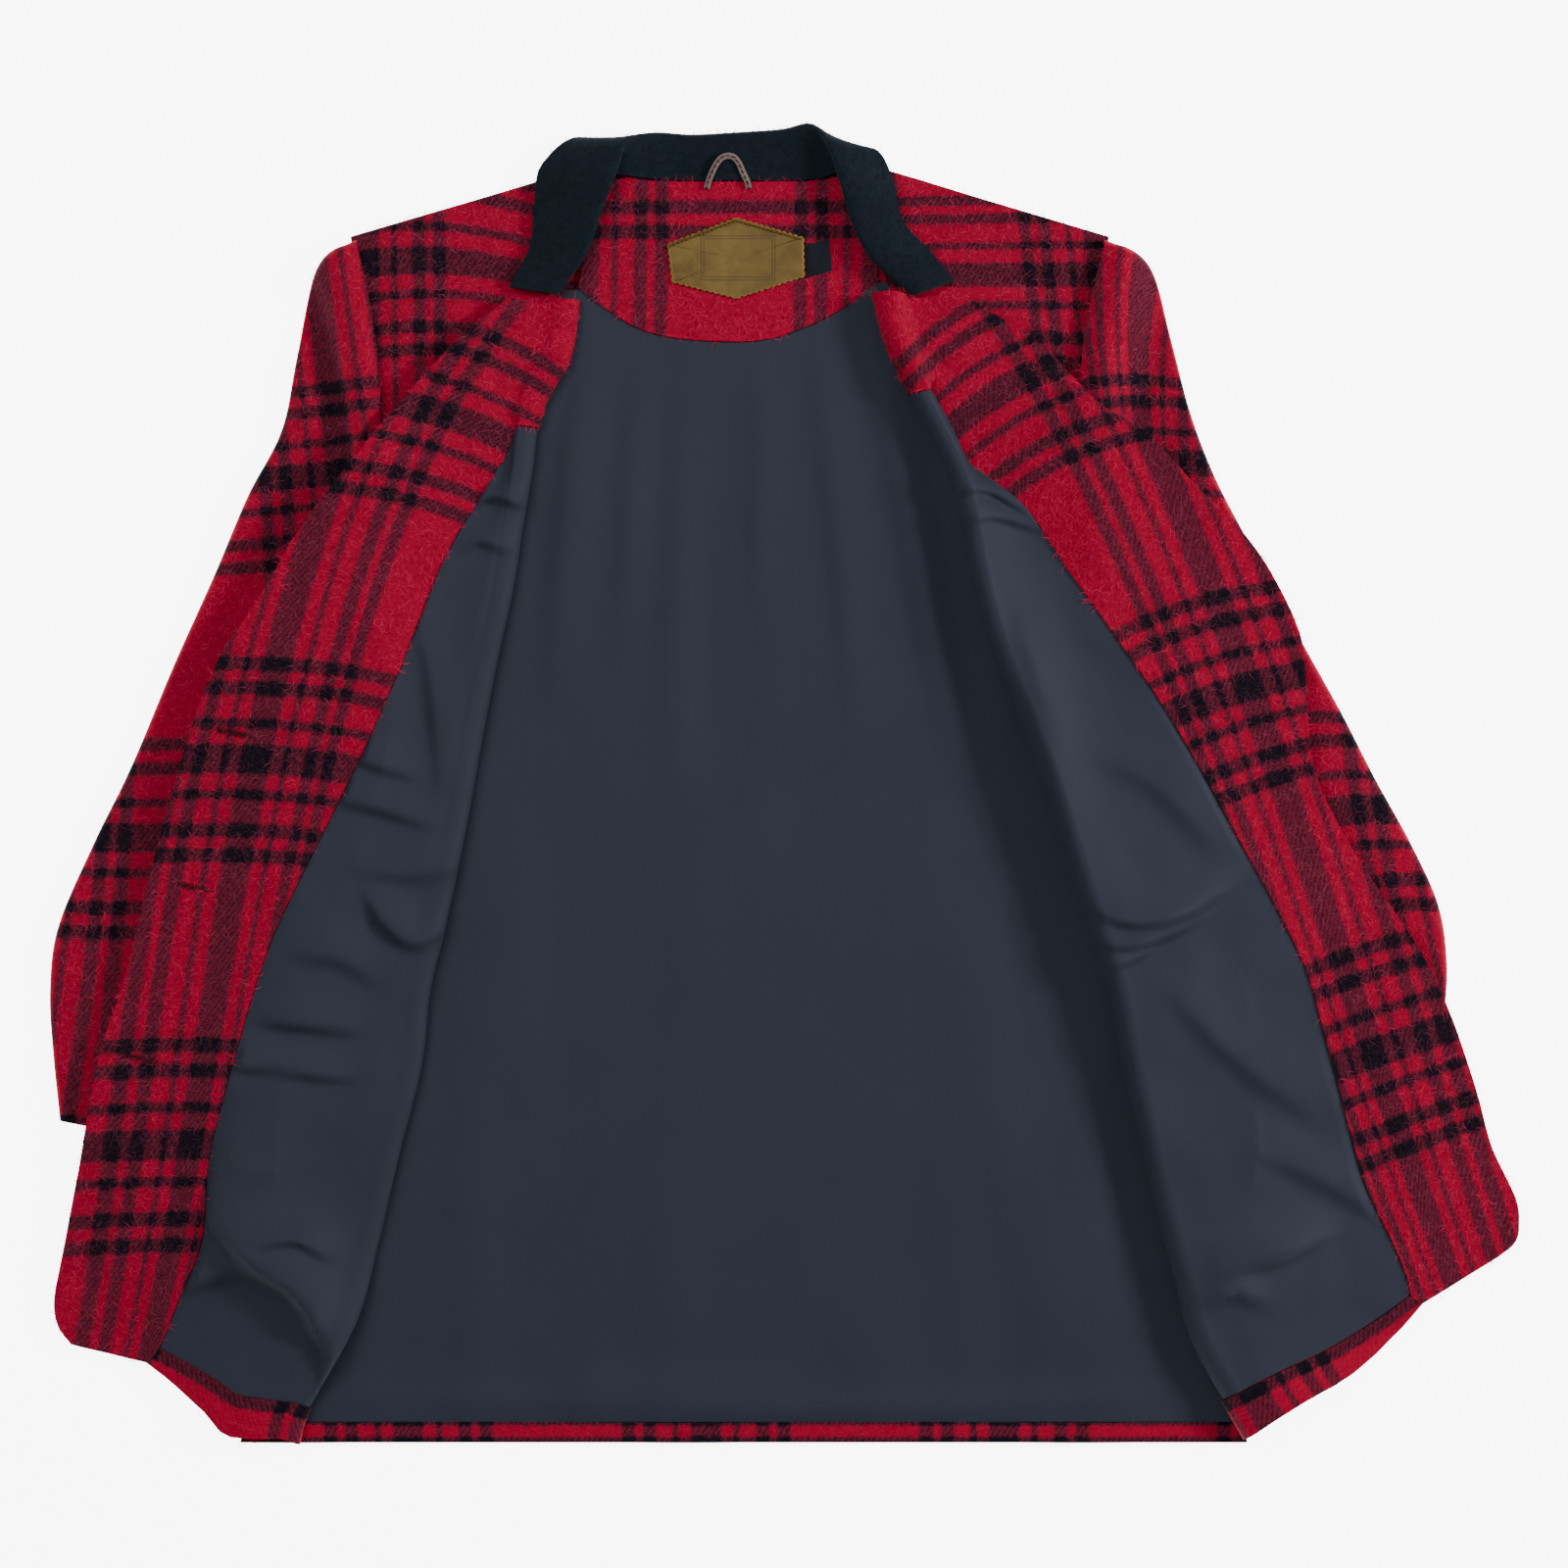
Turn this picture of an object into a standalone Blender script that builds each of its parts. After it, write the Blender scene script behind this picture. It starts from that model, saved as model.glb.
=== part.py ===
"""A lined wool blazer laid open on its back on a flat surface.

Millimetres in the tables, metres in the meshes. X runs across the garment, Y up its length to the collar, and Z up
from the surface that it lies on. Left is -X, as the garment is seen from above.

The pieces are laid as a person would lay them: the back first, then its lining and neck facing, the under layer of
each front, the sleeves on top of that, and last each front's inside, turned back outwards over its own sleeve.
Every piece settles on a height map of what already lies there, so no two pieces cross.
"""

import math

import bpy
import numpy as np

MM = 0.001

# Cloth
WOOL = 2.2
LINING = 1.0
COLLAR_CLOTH = 2.4
SEAM_GAP = 0.3
SLOPE_ALLOWANCE = 1.3  # a sloping wall is thicker, measured straight up, than it is across

# Rolls and rises
ROLL_HEIGHT = 15.0  # of the fold where a front turns back on itself
ROLL_REACH = 8.0
SLEEVE_HEIGHT = 7.8  # two walls and the 3.4 mm between them
SHOULDER_PAD = 4.0
PAD_REACH = 60.0

# The height map
CELL = 3.0
MAP_HALF = 480.0
SAMPLES = 18  # along each side of a quad, so that no cell of the map is missed

# Buttons, sewn to the outer side of the front that lies face down
BUTTON_RADIUS = 10.0
BUTTON_HEIGHT = 3.6

# Trims at the neck
PATCH_WIDTH = 83.0
PATCH_HEIGHT = 49.0
PATCH_SIDE_SHARE = 0.5  # of the height is the length of each upright side
PATCH_THICKNESS = 1.4
PATCH_CENTRE = (-28.5, 309)
TAB_WIDTH = 17.0
TAB_HEIGHT = 21.0
TAB_THICKNESS = 0.8
TAB_CENTRE = (22.6, 309)
LOOP_WIDTH = 4.6
LOOP_THICKNESS = 1.2


def table(columns, rows):
    """Rows of numbers as a dictionary from each column's name to its values."""
    values = np.array(rows, float)
    return {name: values[:, i] for i, name in enumerate(columns.split())}


# The top of each front: its armhole side and its neck side, above the place where the collar ends.
SHOULDER_COLUMNS = "side_x side_y neck_x neck_y"
LEFT_SHOULDER = table(SHOULDER_COLUMNS, [
    (-256, 323, -116, 365),
    (-249, 290, -121, 325),
])
RIGHT_SHOULDER = table(SHOULDER_COLUMNS, [
    (192, 323, 57, 364),
    (184, 290, 52, 328),
])

# A row for each section of a front, from the lapel's top to the hem. side is the armhole or side seam of the layer
# that lies face up, fold is the roll where it turns back, seam is where the lining meets the facing, edge is the
# garment's front edge. bow_in and bow_out bend the section down between fold and seam, and between seam and edge.
FRONT_COLUMNS = "side_x side_y fold_x fold_y seam_x seam_y edge_x edge_y bow_in bow_out"
LEFT_FRONT = table(FRONT_COLUMNS, [
    (-245, 261, -124, 286, -142, 283, -163, 286, 0, 3),
    (-244, 232, -129, 253, -148, 254, -191, 263, 0, 0),
    (-245, 203, -145, 222, -164, 223, -220, 231, 0, 0),
    (-249, 171, -151, 183, -170, 186, -252, 193, 0, 0),
    (-257, 139, -157, 148, -194, 146, -285, 150, 0, 0),
    (-280, 104, -162, 116, -209, 114, -306, 114, 0, 0),
    (-304, 64, -172, 70, -226, 70, -335, 69, 0, 0),
    (-305, 23, -181, 23, -246, 23, -351, 25, 0, 0),
    (-307, -32, -191, -32, -273, -32, -367, -29, 0, 0),
    (-309, -84, -202, -84, -298, -84, -382, -90, 0, 0),
    (-311, -122, -211, -122, -312, -122, -391, -123, 0, 0),
    (-313, -165, -216, -165, -324, -164, -404, -162, 0, 0),
    (-314, -217, -229, -217, -338, -219, -415, -220, 0, 0),
    (-316, -268, -241, -268, -343, -268, -424, -268, 0, 0),
    (-318, -316, -254, -316, -357, -304, -431, -303, 0, 0),
    (-320, -374, -283, -369, -369, -334, -429, -320, 0, 0),
    (-321, -389, -289, -389, -376, -342, -421, -331, 12, 0),
])
RIGHT_FRONT = table(FRONT_COLUMNS, [
    (180, 261, 55, 290, 74, 286, 103, 290, 0, 5),
    (178, 232, 60, 269, 80, 269, 130, 273, 0, 0),
    (179, 217, 68, 247, 88, 248, 155, 256, 0, 0),
    (180, 203, 80, 222, 100, 223, 184, 225, 0, 0),
    (187, 171, 96, 189, 108, 192, 215, 205, 0, 0),
    (195, 139, 105, 158, 143, 163, 241, 177, 0, 0),
    (209, 116, 112, 122, 170, 123, 271, 147, 0, 0),
    (226, 93, 122, 84, 195, 87, 291, 117, 0, 0),
    (247, 64, 137, 46, 220, 51, 305, 84, 0, 0),
    (251, 6, 152, 6, 241, 16, 308, 44, 0, 0),
    (253, -36, 166, -36, 263, -24, 314, 3, 0, 0),
    (255, -80, 180, -80, 289, -72, 336, -40, 0, 0),
    (258, -124, 194, -124, 308, -111, 374, -97, 0, 0),
    (260, -162, 201, -162, 320, -154, 394, -139, 0, 0),
    (263, -204, 211, -204, 331, -194, 408, -180, 0, 0),
    (266, -246, 221, -246, 342, -234, 418, -215, 0, 0),
    (269, -290, 232, -290, 358, -268, 432, -244, 0, 0),
    (270, -327, 242, -327, 368, -292, 434, -259, 0, 0),
    (272, -370, 262, -364, 370, -302, 432, -270, 7, 0),
    (274, -386, 274, -385, 377, -307, 422, -279, 13, 0),
])

# A row for each section of a sleeve, from the armhole to the cuff: its outer and inner edge as it lies, and how far
# the section bows towards the body.
SLEEVE_COLUMNS = "outer_x outer_y inner_x inner_y bow"
LEFT_SLEEVE = table(SLEEVE_COLUMNS, [
    (-259, 321, -250, 142, 9),
    (-277, 302, -251, 128, 5),
    (-288, 252, -250, 112, 2),
    (-297, 209, -248, 95, 0),
    (-317, 170, -243, 74, 0),
    (-337, 123, -237, 42, 0),
    (-360, 72, -244, 2, 0),
    (-386, 10, -257, -43, 0),
    (-408, -35, -276, -87, 0),
    (-429, -84, -290, -128, 0),
    (-434, -122, -299, -165, 0),
    (-432, -160, -303, -191, 0),
    (-428, -199, -304, -223, 0),
])
RIGHT_SLEEVE = table(SLEEVE_COLUMNS, [
    (196, 321, 187, 144, 10),
    (217, 304, 190, 131, 6),
    (229, 262, 192, 116, 2),
    (240, 220, 191, 101, 0),
    (254, 183, 187, 85, 0),
    (273, 146, 182, 58, 0),
    (299, 97, 186, 19, 0),
    (328, 45, 204, -21, 0),
    (349, 4, 223, -61, 0),
    (371, -36, 245, -96, 0),
    (387, -72, 258, -126, 0),
    (392, -107, 264, -154, 0),
    (390, -139, 266, -177, 0),
    (385, -174, 266, -203, 0),
    (378, -203, 264, -226, 0),
])

# A row for each section of the collar, from its left end round the back of the neck to its right end: where it is
# sewn, the top of its roll, and the free edge of its leaf. turn is how far the roll heaps up (the leaf lies on top)
# or down (it lies underneath).
COLLAR = table("seam_x seam_y seam_z roll_x roll_y roll_z leaf_x leaf_y leaf_z turn", [
    (-140, 291, 9.0, -134, 289, 12.5, -162, 293, 9.4, 7),
    (-127, 315, 9.2, -117, 314, 14.0, -150, 317, 9.6, 8),
    (-118, 343, 9.2, -107, 342, 15.0, -147, 345, 9.6, 8),
    (-110, 358, 9.2, -99, 362, 15.5, -143, 365, 9.6, 8),
    (-98, 360, 8.0, -93, 379, 13.5, -122, 381, 7.5, 4),
    (-80, 358, 4.6, -77, 384, 5.4, -91, 367, 2.6, -2),
    (-56, 357, 4.4, -55, 383, 4.0, -55, 362, 1.4, -3),
    (-30, 357, 4.4, -30, 384, 4.0, -30, 362, 1.4, -3),
    (-3, 357, 4.4, -2, 386, 4.0, -2, 362, 1.4, -3),
    (20, 358, 4.6, 16, 389, 5.4, 30, 370, 2.6, -2),
    (34, 361, 8.0, 26, 378, 13.5, 54, 374, 7.5, 4),
    (42, 350, 9.2, 34, 354, 15.5, 64, 356, 9.6, 8),
    (51, 331, 9.2, 41, 331, 15.0, 70, 332, 9.6, 8),
    (63, 311, 9.2, 53, 309, 14.0, 87, 313, 9.6, 8),
    (81, 293, 9.0, 77, 288, 12.5, 100, 297, 9.4, 7),
])

# The back's upper edge, from shoulder tip to shoulder tip, and the neck facing's upper and lower edges.
POINT = "x y"
SHOULDER_LINE = table(POINT, [
    (-256, 323), (-186, 344), (-116, 365), (-96, 355), (-62, 353), (-30, 352), (5, 353), (37, 355), (57, 364),
    (124, 344), (192, 323),
])
FACING_TOP = table(POINT, [
    (-113, 345), (-96, 354), (-62, 353), (-30, 352), (5, 353), (35, 354), (47, 343),
])
FACING_BOTTOM = table(POINT, [
    (-121, 293), (-105, 281), (-85, 269), (-58, 263), (-17, 262), (12, 270), (36, 282), (56, 297),
])
LINING_TOP_LEFT = table(POINT, [(-236, 258), (-180, 280)])
LINING_TOP_RIGHT = table(POINT, [(115, 282), (172, 258)])
HEM_Y = -389.5
LINING_END_Y = -377.0
BACK_LINING_INSET = 8.0

# The largest folds, a row each: a line across the garment, and the width and height of the ridge along it.
FOLD_COLUMNS = "from_x from_y to_x to_y width height"
BACK_FOLDS = table(FOLD_COLUMNS, [
    (-120, 215, -150, 20, 15, 1.6),
    (-70, 240, -82, 40, 14, 1.3),
    (-10, 245, -14, 90, 14, 1.0),
    (28, 240, 52, 10, 15, 1.5),
    (66, 190, 112, -80, 16, 1.9),
    (-176, -120, -186, -340, 20, 1.4),
    (150, -150, 180, -340, 20, 1.6),
])
LEFT_FOLDS = table(FOLD_COLUMNS, [
    (-338, -240, -306, -285, 15, 5.0),
    (-306, -285, -270, -322, 14, 5.0),
    (-252, -74, -208, -92, 10, 3.2),
    (-184, 178, -158, 160, 9, 3.0),
    (-286, -106, -238, -130, 15, 2.0),
    (-300, -152, -262, -148, 14, 2.2),
    (-284, -252, -262, -262, 10, 2.4),
])
RIGHT_FOLDS = table(FOLD_COLUMNS, [
    (184, -74, 250, -58, 11, 3.2),
    (250, -284, 282, -262, 9, 3.4),
    (282, -262, 316, -276, 9, 3.2),
    (216, -186, 300, -126, 24, 2.4),
    (112, 160, 132, 178, 9, 3.0),
    (250, -310, 268, -308, 8, 2.2),
])
LEFT_SLEEVE_FOLDS = table(FOLD_COLUMNS, [
    (-274, 300, -262, 208, 9, 2.6),
    (-290, 262, -302, 190, 11, 1.6),
    (-376, 20, -392, -60, 16, 1.4),
])
RIGHT_SLEEVE_FOLDS = table(FOLD_COLUMNS, [
    (212, 292, 206, 226, 9, 2.6),
    (226, 262, 242, 190, 11, 1.6),
    (352, -14, 374, -70, 14, 1.4),
])
# Where the buttons are sewn, matching the three buttonholes of the other front.
BUTTONS = table(POINT, [(285, 48), (300, -46), (352, -136)])

# How many stretches each piece has between its named lines.
UNDER_STRETCHES = 4
ROLL_STRETCHES = 5
LINING_STRETCHES = 5
FACING_STRETCHES = 3
FULL_FACING_ROWS = 3  # above this row the facing covers the whole width of the turned front
BACK_ROWS = 13
BACK_COLUMNS = 14
LINING_ROWS = 16
LINING_COLUMNS = 26
NECK_COLUMNS = 12
HEM_COLUMNS = 14
SLEEVE_STRETCHES = 6
SMOOTHING = 5


class Bed:
    """A height map of everything laid so far."""

    def __init__(self):
        side = int(2 * MAP_HALF / CELL)
        self.height = np.zeros((side, side))

    def cells(self, x, y):
        last = len(self.height) - 1
        column = np.clip(((x + MAP_HALF) / CELL).astype(int), 0, last)
        row = np.clip(((y + MAP_HALF) / CELL).astype(int), 0, last)
        return column, row

    def add(self, grid, top):
        """Raises the map to a laid surface whose middle is grid and whose upper side is top above that."""
        x, y, z = spread(grid)
        np.maximum.at(self.height, self.cells(x, y), z + top)

    def widened(self):
        """The map with each cell as high as its highest neighbour."""
        wide = self.height.copy()
        for shift_x in (-1, 0, 1):
            for shift_y in (-1, 0, 1):
                wide = np.maximum(wide, np.roll(self.height, (shift_x, shift_y), axis=(0, 1)))
        return wide

    def under(self, x, y):
        """For each point of a grid, the highest thing under any of the quads that it is a corner of."""
        grid = np.stack([x, y, np.zeros_like(x)], axis=-1)
        sample_x, sample_y, _ = spread(grid)
        found = self.widened()[self.cells(sample_x, sample_y)]
        rows, columns = x.shape
        highest = found.reshape(-1, (rows - 1) * (columns - 1)).max(axis=0).reshape(rows - 1, columns - 1)
        height = np.zeros_like(x)
        for row in (0, 1):
            for column in (0, 1):
                corner = height[row:rows - 1 + row, column:columns - 1 + column]
                np.maximum(corner, highest, out=corner)
        return height


def spread(grid):
    """Points spread evenly over every quad of a grid, as x, y and z."""
    step = np.linspace(0, 1, SAMPLES)
    across, down = (a.reshape(-1, 1, 1, 1) for a in np.meshgrid(step, step))
    points = (
        grid[:-1, :-1] * (1 - across) * (1 - down)
        + grid[:-1, 1:] * across * (1 - down)
        + grid[1:, :-1] * (1 - across) * down
        + grid[1:, 1:] * across * down
    )
    return points.reshape(-1, 3).T


def settle(height, passes=SMOOTHING):
    """Cloth bridges the hollows between what it lies on: each point rises to the mean of its neighbours, if higher."""
    for _ in range(passes):
        padded = np.pad(height, 1, mode="edge")
        mean = (padded[:-2, 1:-1] + padded[2:, 1:-1] + padded[1:-1, :-2] + padded[1:-1, 2:]) / 4
        height = np.maximum(height, mean)
    return height


def ridges(folds, x, y):
    """The height of the named folds at each point."""
    height = np.zeros_like(x)
    for i in range(len(folds["width"])):
        start = np.array([folds["from_x"][i], folds["from_y"][i]])
        run = np.array([folds["to_x"][i], folds["to_y"][i]]) - start
        along = ((x - start[0]) * run[0] + (y - start[1]) * run[1]) / (run @ run)
        held = np.clip(along, 0, 1)
        away = np.hypot(x - start[0] - held * run[0], y - start[1] - held * run[1])
        height += folds["height"][i] * np.exp(-((away / folds["width"][i]) ** 2))
    return height


def along(points, count):
    """count points spread evenly along a line through the given ones."""
    xy = np.stack([points["x"], points["y"]], axis=-1)
    run = np.concatenate([[0], np.cumsum(np.hypot(*np.diff(xy, axis=0).T))])
    at = np.linspace(0, run[-1], count)
    return np.stack([np.interp(at, run, xy[:, 0]), np.interp(at, run, xy[:, 1])], axis=-1)


def between(first, last, count):
    """count rows of points from the line first to the line last, as an array of lines side by side."""
    step = np.linspace(0, 1, count).reshape(1, -1, 1)
    return first[:, None] * (1 - step) + last[:, None] * step


def unit(vectors):
    return vectors / np.linalg.norm(vectors, axis=-1, keepdims=True)


def normals(grid):
    """At each point of a grid, the mean direction that its quads face, up where the grid lies on top."""
    facing = unit(np.cross(grid[1:, 1:] - grid[:-1, :-1], grid[1:, :-1] - grid[:-1, 1:]))
    padded = np.pad(facing, ((1, 1), (1, 1), (0, 0)))
    found = unit(padded[:-1, :-1] + padded[:-1, 1:] + padded[1:, :-1] + padded[1:, 1:])
    return found * np.sign(found[..., 2].sum())


# Materials

def material(name, colour, roughness):
    made = bpy.data.materials.new(name)
    made.use_nodes = True
    shader = made.node_tree.nodes["Principled BSDF"]
    shader.inputs["Base Color"].default_value = (*colour, 1)
    shader.inputs["Roughness"].default_value = roughness
    shader.inputs["Metallic"].default_value = 0
    return made


# Meshes

def mesh_object(name, points, faces, finish):
    mesh = bpy.data.meshes.new(name)
    mesh.from_pydata([tuple(point * MM) for point in points], [], faces)
    mesh.shade_smooth()
    mesh.set_sharp_from_angle(angle=math.radians(40))
    mesh.materials.append(finish)
    made = bpy.data.objects.new(name, mesh)
    pieces.objects.link(made)
    made.parent = laid_garment
    return made


def thicken(piece, thickness, offset):
    wall = piece.modifiers.new("cloth", "SOLIDIFY")
    wall.thickness = thickness * MM
    wall.offset = offset
    wall.use_quality_normals = True


def sheet(name, grid, thickness, finish, kept=None):
    """A cloth wall whose middle is the grid. kept says which of its quads are there."""
    rows, columns = grid.shape[:2]
    index = np.arange(rows * columns).reshape(rows, columns)
    quads = np.stack([index[:-1, :-1], index[1:, :-1], index[1:, 1:], index[:-1, 1:]], axis=-1)
    quads = quads[kept] if kept is not None else quads.reshape(-1, 4)
    used, faces = np.unique(quads, return_inverse=True)
    faces = faces.reshape(-1, 4)
    piece = mesh_object(name, grid.reshape(-1, 3)[used], faces.tolist(), finish)
    thicken(piece, thickness, 0)
    return piece


def laid(bed, xy, thickness, rise=0, passes=0):
    """A sheet's middle where it lies on the bed: its plan, with the height that it settles at."""
    found = bed.under(xy[..., 0], xy[..., 1])
    lift = np.where(found > 0, SEAM_GAP, 0) + thickness / 2
    if passes:
        lift = lift + (SLOPE_ALLOWANCE - 1) * thickness / 2
    height = settle(found + lift + rise, passes)
    return np.concatenate([xy, height[..., None]], axis=-1)


# The back, its lining and its neck facing

def side_line(shoulder, front):
    """The armhole and side seam, from the shoulder's tip to the hem."""
    return {
        "x": np.concatenate([shoulder["side_x"], front["side_x"]]),
        "y": np.concatenate([shoulder["side_y"], front["side_y"]]),
    }


def body_plan(left, right, top, hem_y, rows, columns):
    """The plan of a body panel between two side lines, an upper edge and a hem."""
    left_line, right_line = along(left, rows + 1), along(right, rows + 1)
    left_line[-1, 1] = right_line[-1, 1] = hem_y
    plan = between(left_line, right_line, columns + 1)
    rise = along(top, columns + 1) - plan[0]
    fade = (1 - np.linspace(0, 1, rows + 1)) ** 3
    return plan + fade[:, None, None] * rise


def make_back(bed):
    left = side_line(LEFT_SHOULDER, LEFT_FRONT)
    right = side_line(RIGHT_SHOULDER, RIGHT_FRONT)
    plan = body_plan(left, right, SHOULDER_LINE, HEM_Y, BACK_ROWS, BACK_COLUMNS)
    back = laid(bed, plan, WOOL)
    sheet("back", back, WOOL, plaid)
    bed.add(back, WOOL / 2)

    neck = np.swapaxes(between(along(FACING_TOP, NECK_COLUMNS + 1), along(FACING_BOTTOM, NECK_COLUMNS + 1), 4), 0, 1)
    facing = laid(bed, neck, WOOL)
    sheet("neck_facing", facing, WOOL, plaid)

    hem_x = np.linspace(left["x"][-1] + 3, right["x"][-1] - 3, HEM_COLUMNS + 1)
    hem_top = np.stack([hem_x, np.full_like(hem_x, LINING_END_Y - SEAM_GAP)], axis=-1)
    hem_foot = np.stack([hem_x, np.full_like(hem_x, HEM_Y)], axis=-1)
    hem = laid(bed, np.swapaxes(between(hem_top, hem_foot, 3), 0, 1), WOOL)
    sheet("back_hem", hem, WOOL, plaid)

    # The lining starts a seam's gap below the neck facing and stops short of the side seams.
    top = {
        axis: np.concatenate([LINING_TOP_LEFT[axis], FACING_BOTTOM[axis], LINING_TOP_RIGHT[axis]]) for axis in "xy"
    }
    top["y"] = top["y"] - 2 * SEAM_GAP
    inner_left = {"x": left["x"][3:] + BACK_LINING_INSET, "y": left["y"][3:] - 2}
    inner_right = {"x": right["x"][3:] - BACK_LINING_INSET, "y": right["y"][3:] - 2}
    plan = body_plan(inner_left, inner_right, top, LINING_END_Y, LINING_ROWS, LINING_COLUMNS)
    lining = laid(bed, plan, LINING, rise=ridges(BACK_FOLDS, plan[..., 0], plan[..., 1]))
    sheet("back_lining", lining, LINING, satin)
    bed.add(facing, WOOL / 2)
    bed.add(hem, WOOL / 2)
    bed.add(lining, LINING / 2)


# The fronts

def front_lines(front):
    """A front's named lines as arrays of points."""
    return {
        name: np.stack([front[name + "_x"], front[name + "_y"]], axis=-1) for name in ("side", "fold", "seam", "edge")
    }


def inwards(lines):
    """For each row, the unit vector from the front edge towards the roll."""
    run = lines["fold"] - lines["edge"]
    return run / np.linalg.norm(run, axis=-1, keepdims=True)


def under_layer(bed, shoulder, front):
    """The layer of a front that lies face up on the back, as far as its roll."""
    lines = front_lines(front)
    tops = {name: np.stack([shoulder[name + "_x"], shoulder[name + "_y"]], axis=-1) for name in ("side", "neck")}
    roll_foot = lines["fold"] - ROLL_REACH * inwards(lines)
    roll_foot[0] = lines["fold"][0]
    outer = np.concatenate([tops["side"], lines["side"]])
    inner = np.concatenate([tops["neck"], roll_foot])
    plan = between(outer, inner, UNDER_STRETCHES + 1)
    tip = outer[0]
    near = np.hypot(plan[..., 0] - tip[0], plan[..., 1] - tip[1])
    pad = SHOULDER_PAD * np.exp(-((near / PAD_REACH) ** 2))
    return laid(bed, plan, WOOL, rise=pad, passes=1)


def bowed(first, last, count, bow):
    """Rows of points between two lines, each row bent down in its middle by its bow."""
    plan = between(first, last, count)
    step = np.linspace(0, 1, count)
    plan[..., 1] -= bow[:, None] * 4 * step * (1 - step)
    return plan


def turned_layer(bed, front, under, folds):
    """The roll and the turned-back layer of a front, and the outward normals there, as two grids."""
    lines = front_lines(front)
    inward = inwards(lines)
    top_inner = lines["fold"] - ROLL_REACH * inward
    lining_plan = bowed(top_inner, lines["seam"], LINING_STRETCHES + 1, front["bow_in"])
    facing_plan = bowed(lines["seam"], lines["edge"], FACING_STRETCHES + 1, front["bow_out"])
    plan = np.concatenate([lining_plan, facing_plan[:, 1:]], axis=1)
    rows = len(inward)
    found = bed.under(plan[..., 0], plan[..., 1])
    height = found + np.where(found > 0, SEAM_GAP, 0) + SLOPE_ALLOWANCE * WOOL / 2
    swell = 0.55 + 0.45 * np.sin(np.linspace(0, math.pi, rows))
    foot = under[-rows:, -1, 2]
    height[:, 0] = np.maximum(height[:, 0], foot + ROLL_HEIGHT * swell)
    height = settle(height) + ridges(folds, plan[..., 0], plan[..., 1])
    upper = np.concatenate([plan, height[..., None]], axis=-1)

    # The roll is half an ellipse from the under layer's inner line up to the turned layer's.
    angle = np.linspace(-math.pi / 2, math.pi / 2, ROLL_STRETCHES + 1)[1:-1].reshape(1, -1)
    low, high = foot[:, None], height[:, :1]
    reach = ROLL_REACH * np.cos(angle)
    roll = np.concatenate(
        [
            top_inner[:, None] + reach[..., None] * inward[:, None],
            ((low + high) / 2 + (high - low) / 2 * np.sin(angle))[..., None],
        ],
        axis=-1,
    )
    return np.concatenate([roll, upper], axis=1)


def make_front(bed, side, shoulder, front, under, folds):
    turned = turned_layer(bed, front, under, folds)
    rows = len(turned)
    shoulder_rows = len(under) - rows
    # Above the lapel there is no turned layer, so those quads are left out.
    missing = np.repeat(turned[:1], shoulder_rows, axis=0)
    whole = np.concatenate([under, np.concatenate([missing, turned])], axis=1)
    kept = np.ones((whole.shape[0] - 1, whole.shape[1] - 1), bool)
    kept[:shoulder_rows, UNDER_STRETCHES:] = False
    sheet(side + "_front", whole, WOOL, plaid, kept)

    # The facing, the lining and the hem's turning lie on the turned layer, moved out from its own points.
    outward = normals(turned)
    first_column, seam_column = 1, ROLL_STRETCHES - 1 + LINING_STRETCHES

    def cover(name, thickness, finish, row_from, row_to, column_from, column_to, inset):
        part = turned[row_from:row_to + 1, column_from:column_to + 1].copy()
        part += outward[row_from:row_to + 1, column_from:column_to + 1] * (WOOL / 2 + SEAM_GAP + thickness / 2)
        top, bottom, inner, outer = (SEAM_GAP * amount for amount in inset)
        ends = part.copy()
        part[0] += top * unit(ends[1] - ends[0])
        part[-1] += bottom * unit(ends[-2] - ends[-1])
        part[:, 0] += inner * unit(ends[:, 1] - ends[:, 0])
        part[:, -1] += outer * unit(ends[:, -2] - ends[:, -1])
        return part

    last = turned.shape[1] - 1
    lining = cover("lining", LINING, satin, FULL_FACING_ROWS, rows - 2, first_column, seam_column, (3, 1, 0, 1.6))
    sheet(side + "_front_lining", lining, LINING, satin)
    hem = cover("hem", WOOL, plaid, rows - 2, rows - 1, first_column, seam_column, (1, 0, 0, 1))
    sheet(side + "_front_hem", hem, WOOL, plaid)
    facing = cover("facing", WOOL, plaid, 0, rows - 1, first_column, last, (0, 0, 0, 0))
    kept = np.zeros((facing.shape[0] - 1, facing.shape[1] - 1), bool)
    kept[:FULL_FACING_ROWS] = True
    kept[:, seam_column - first_column:] = True
    facing[FULL_FACING_ROWS + 1:, seam_column - first_column] += SEAM_GAP * unit(
        facing[FULL_FACING_ROWS + 1:, seam_column - first_column + 1]
        - facing[FULL_FACING_ROWS + 1:, seam_column - first_column]
    )
    sheet(side + "_facing", facing, WOOL, plaid, kept)


# The sleeves

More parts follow.
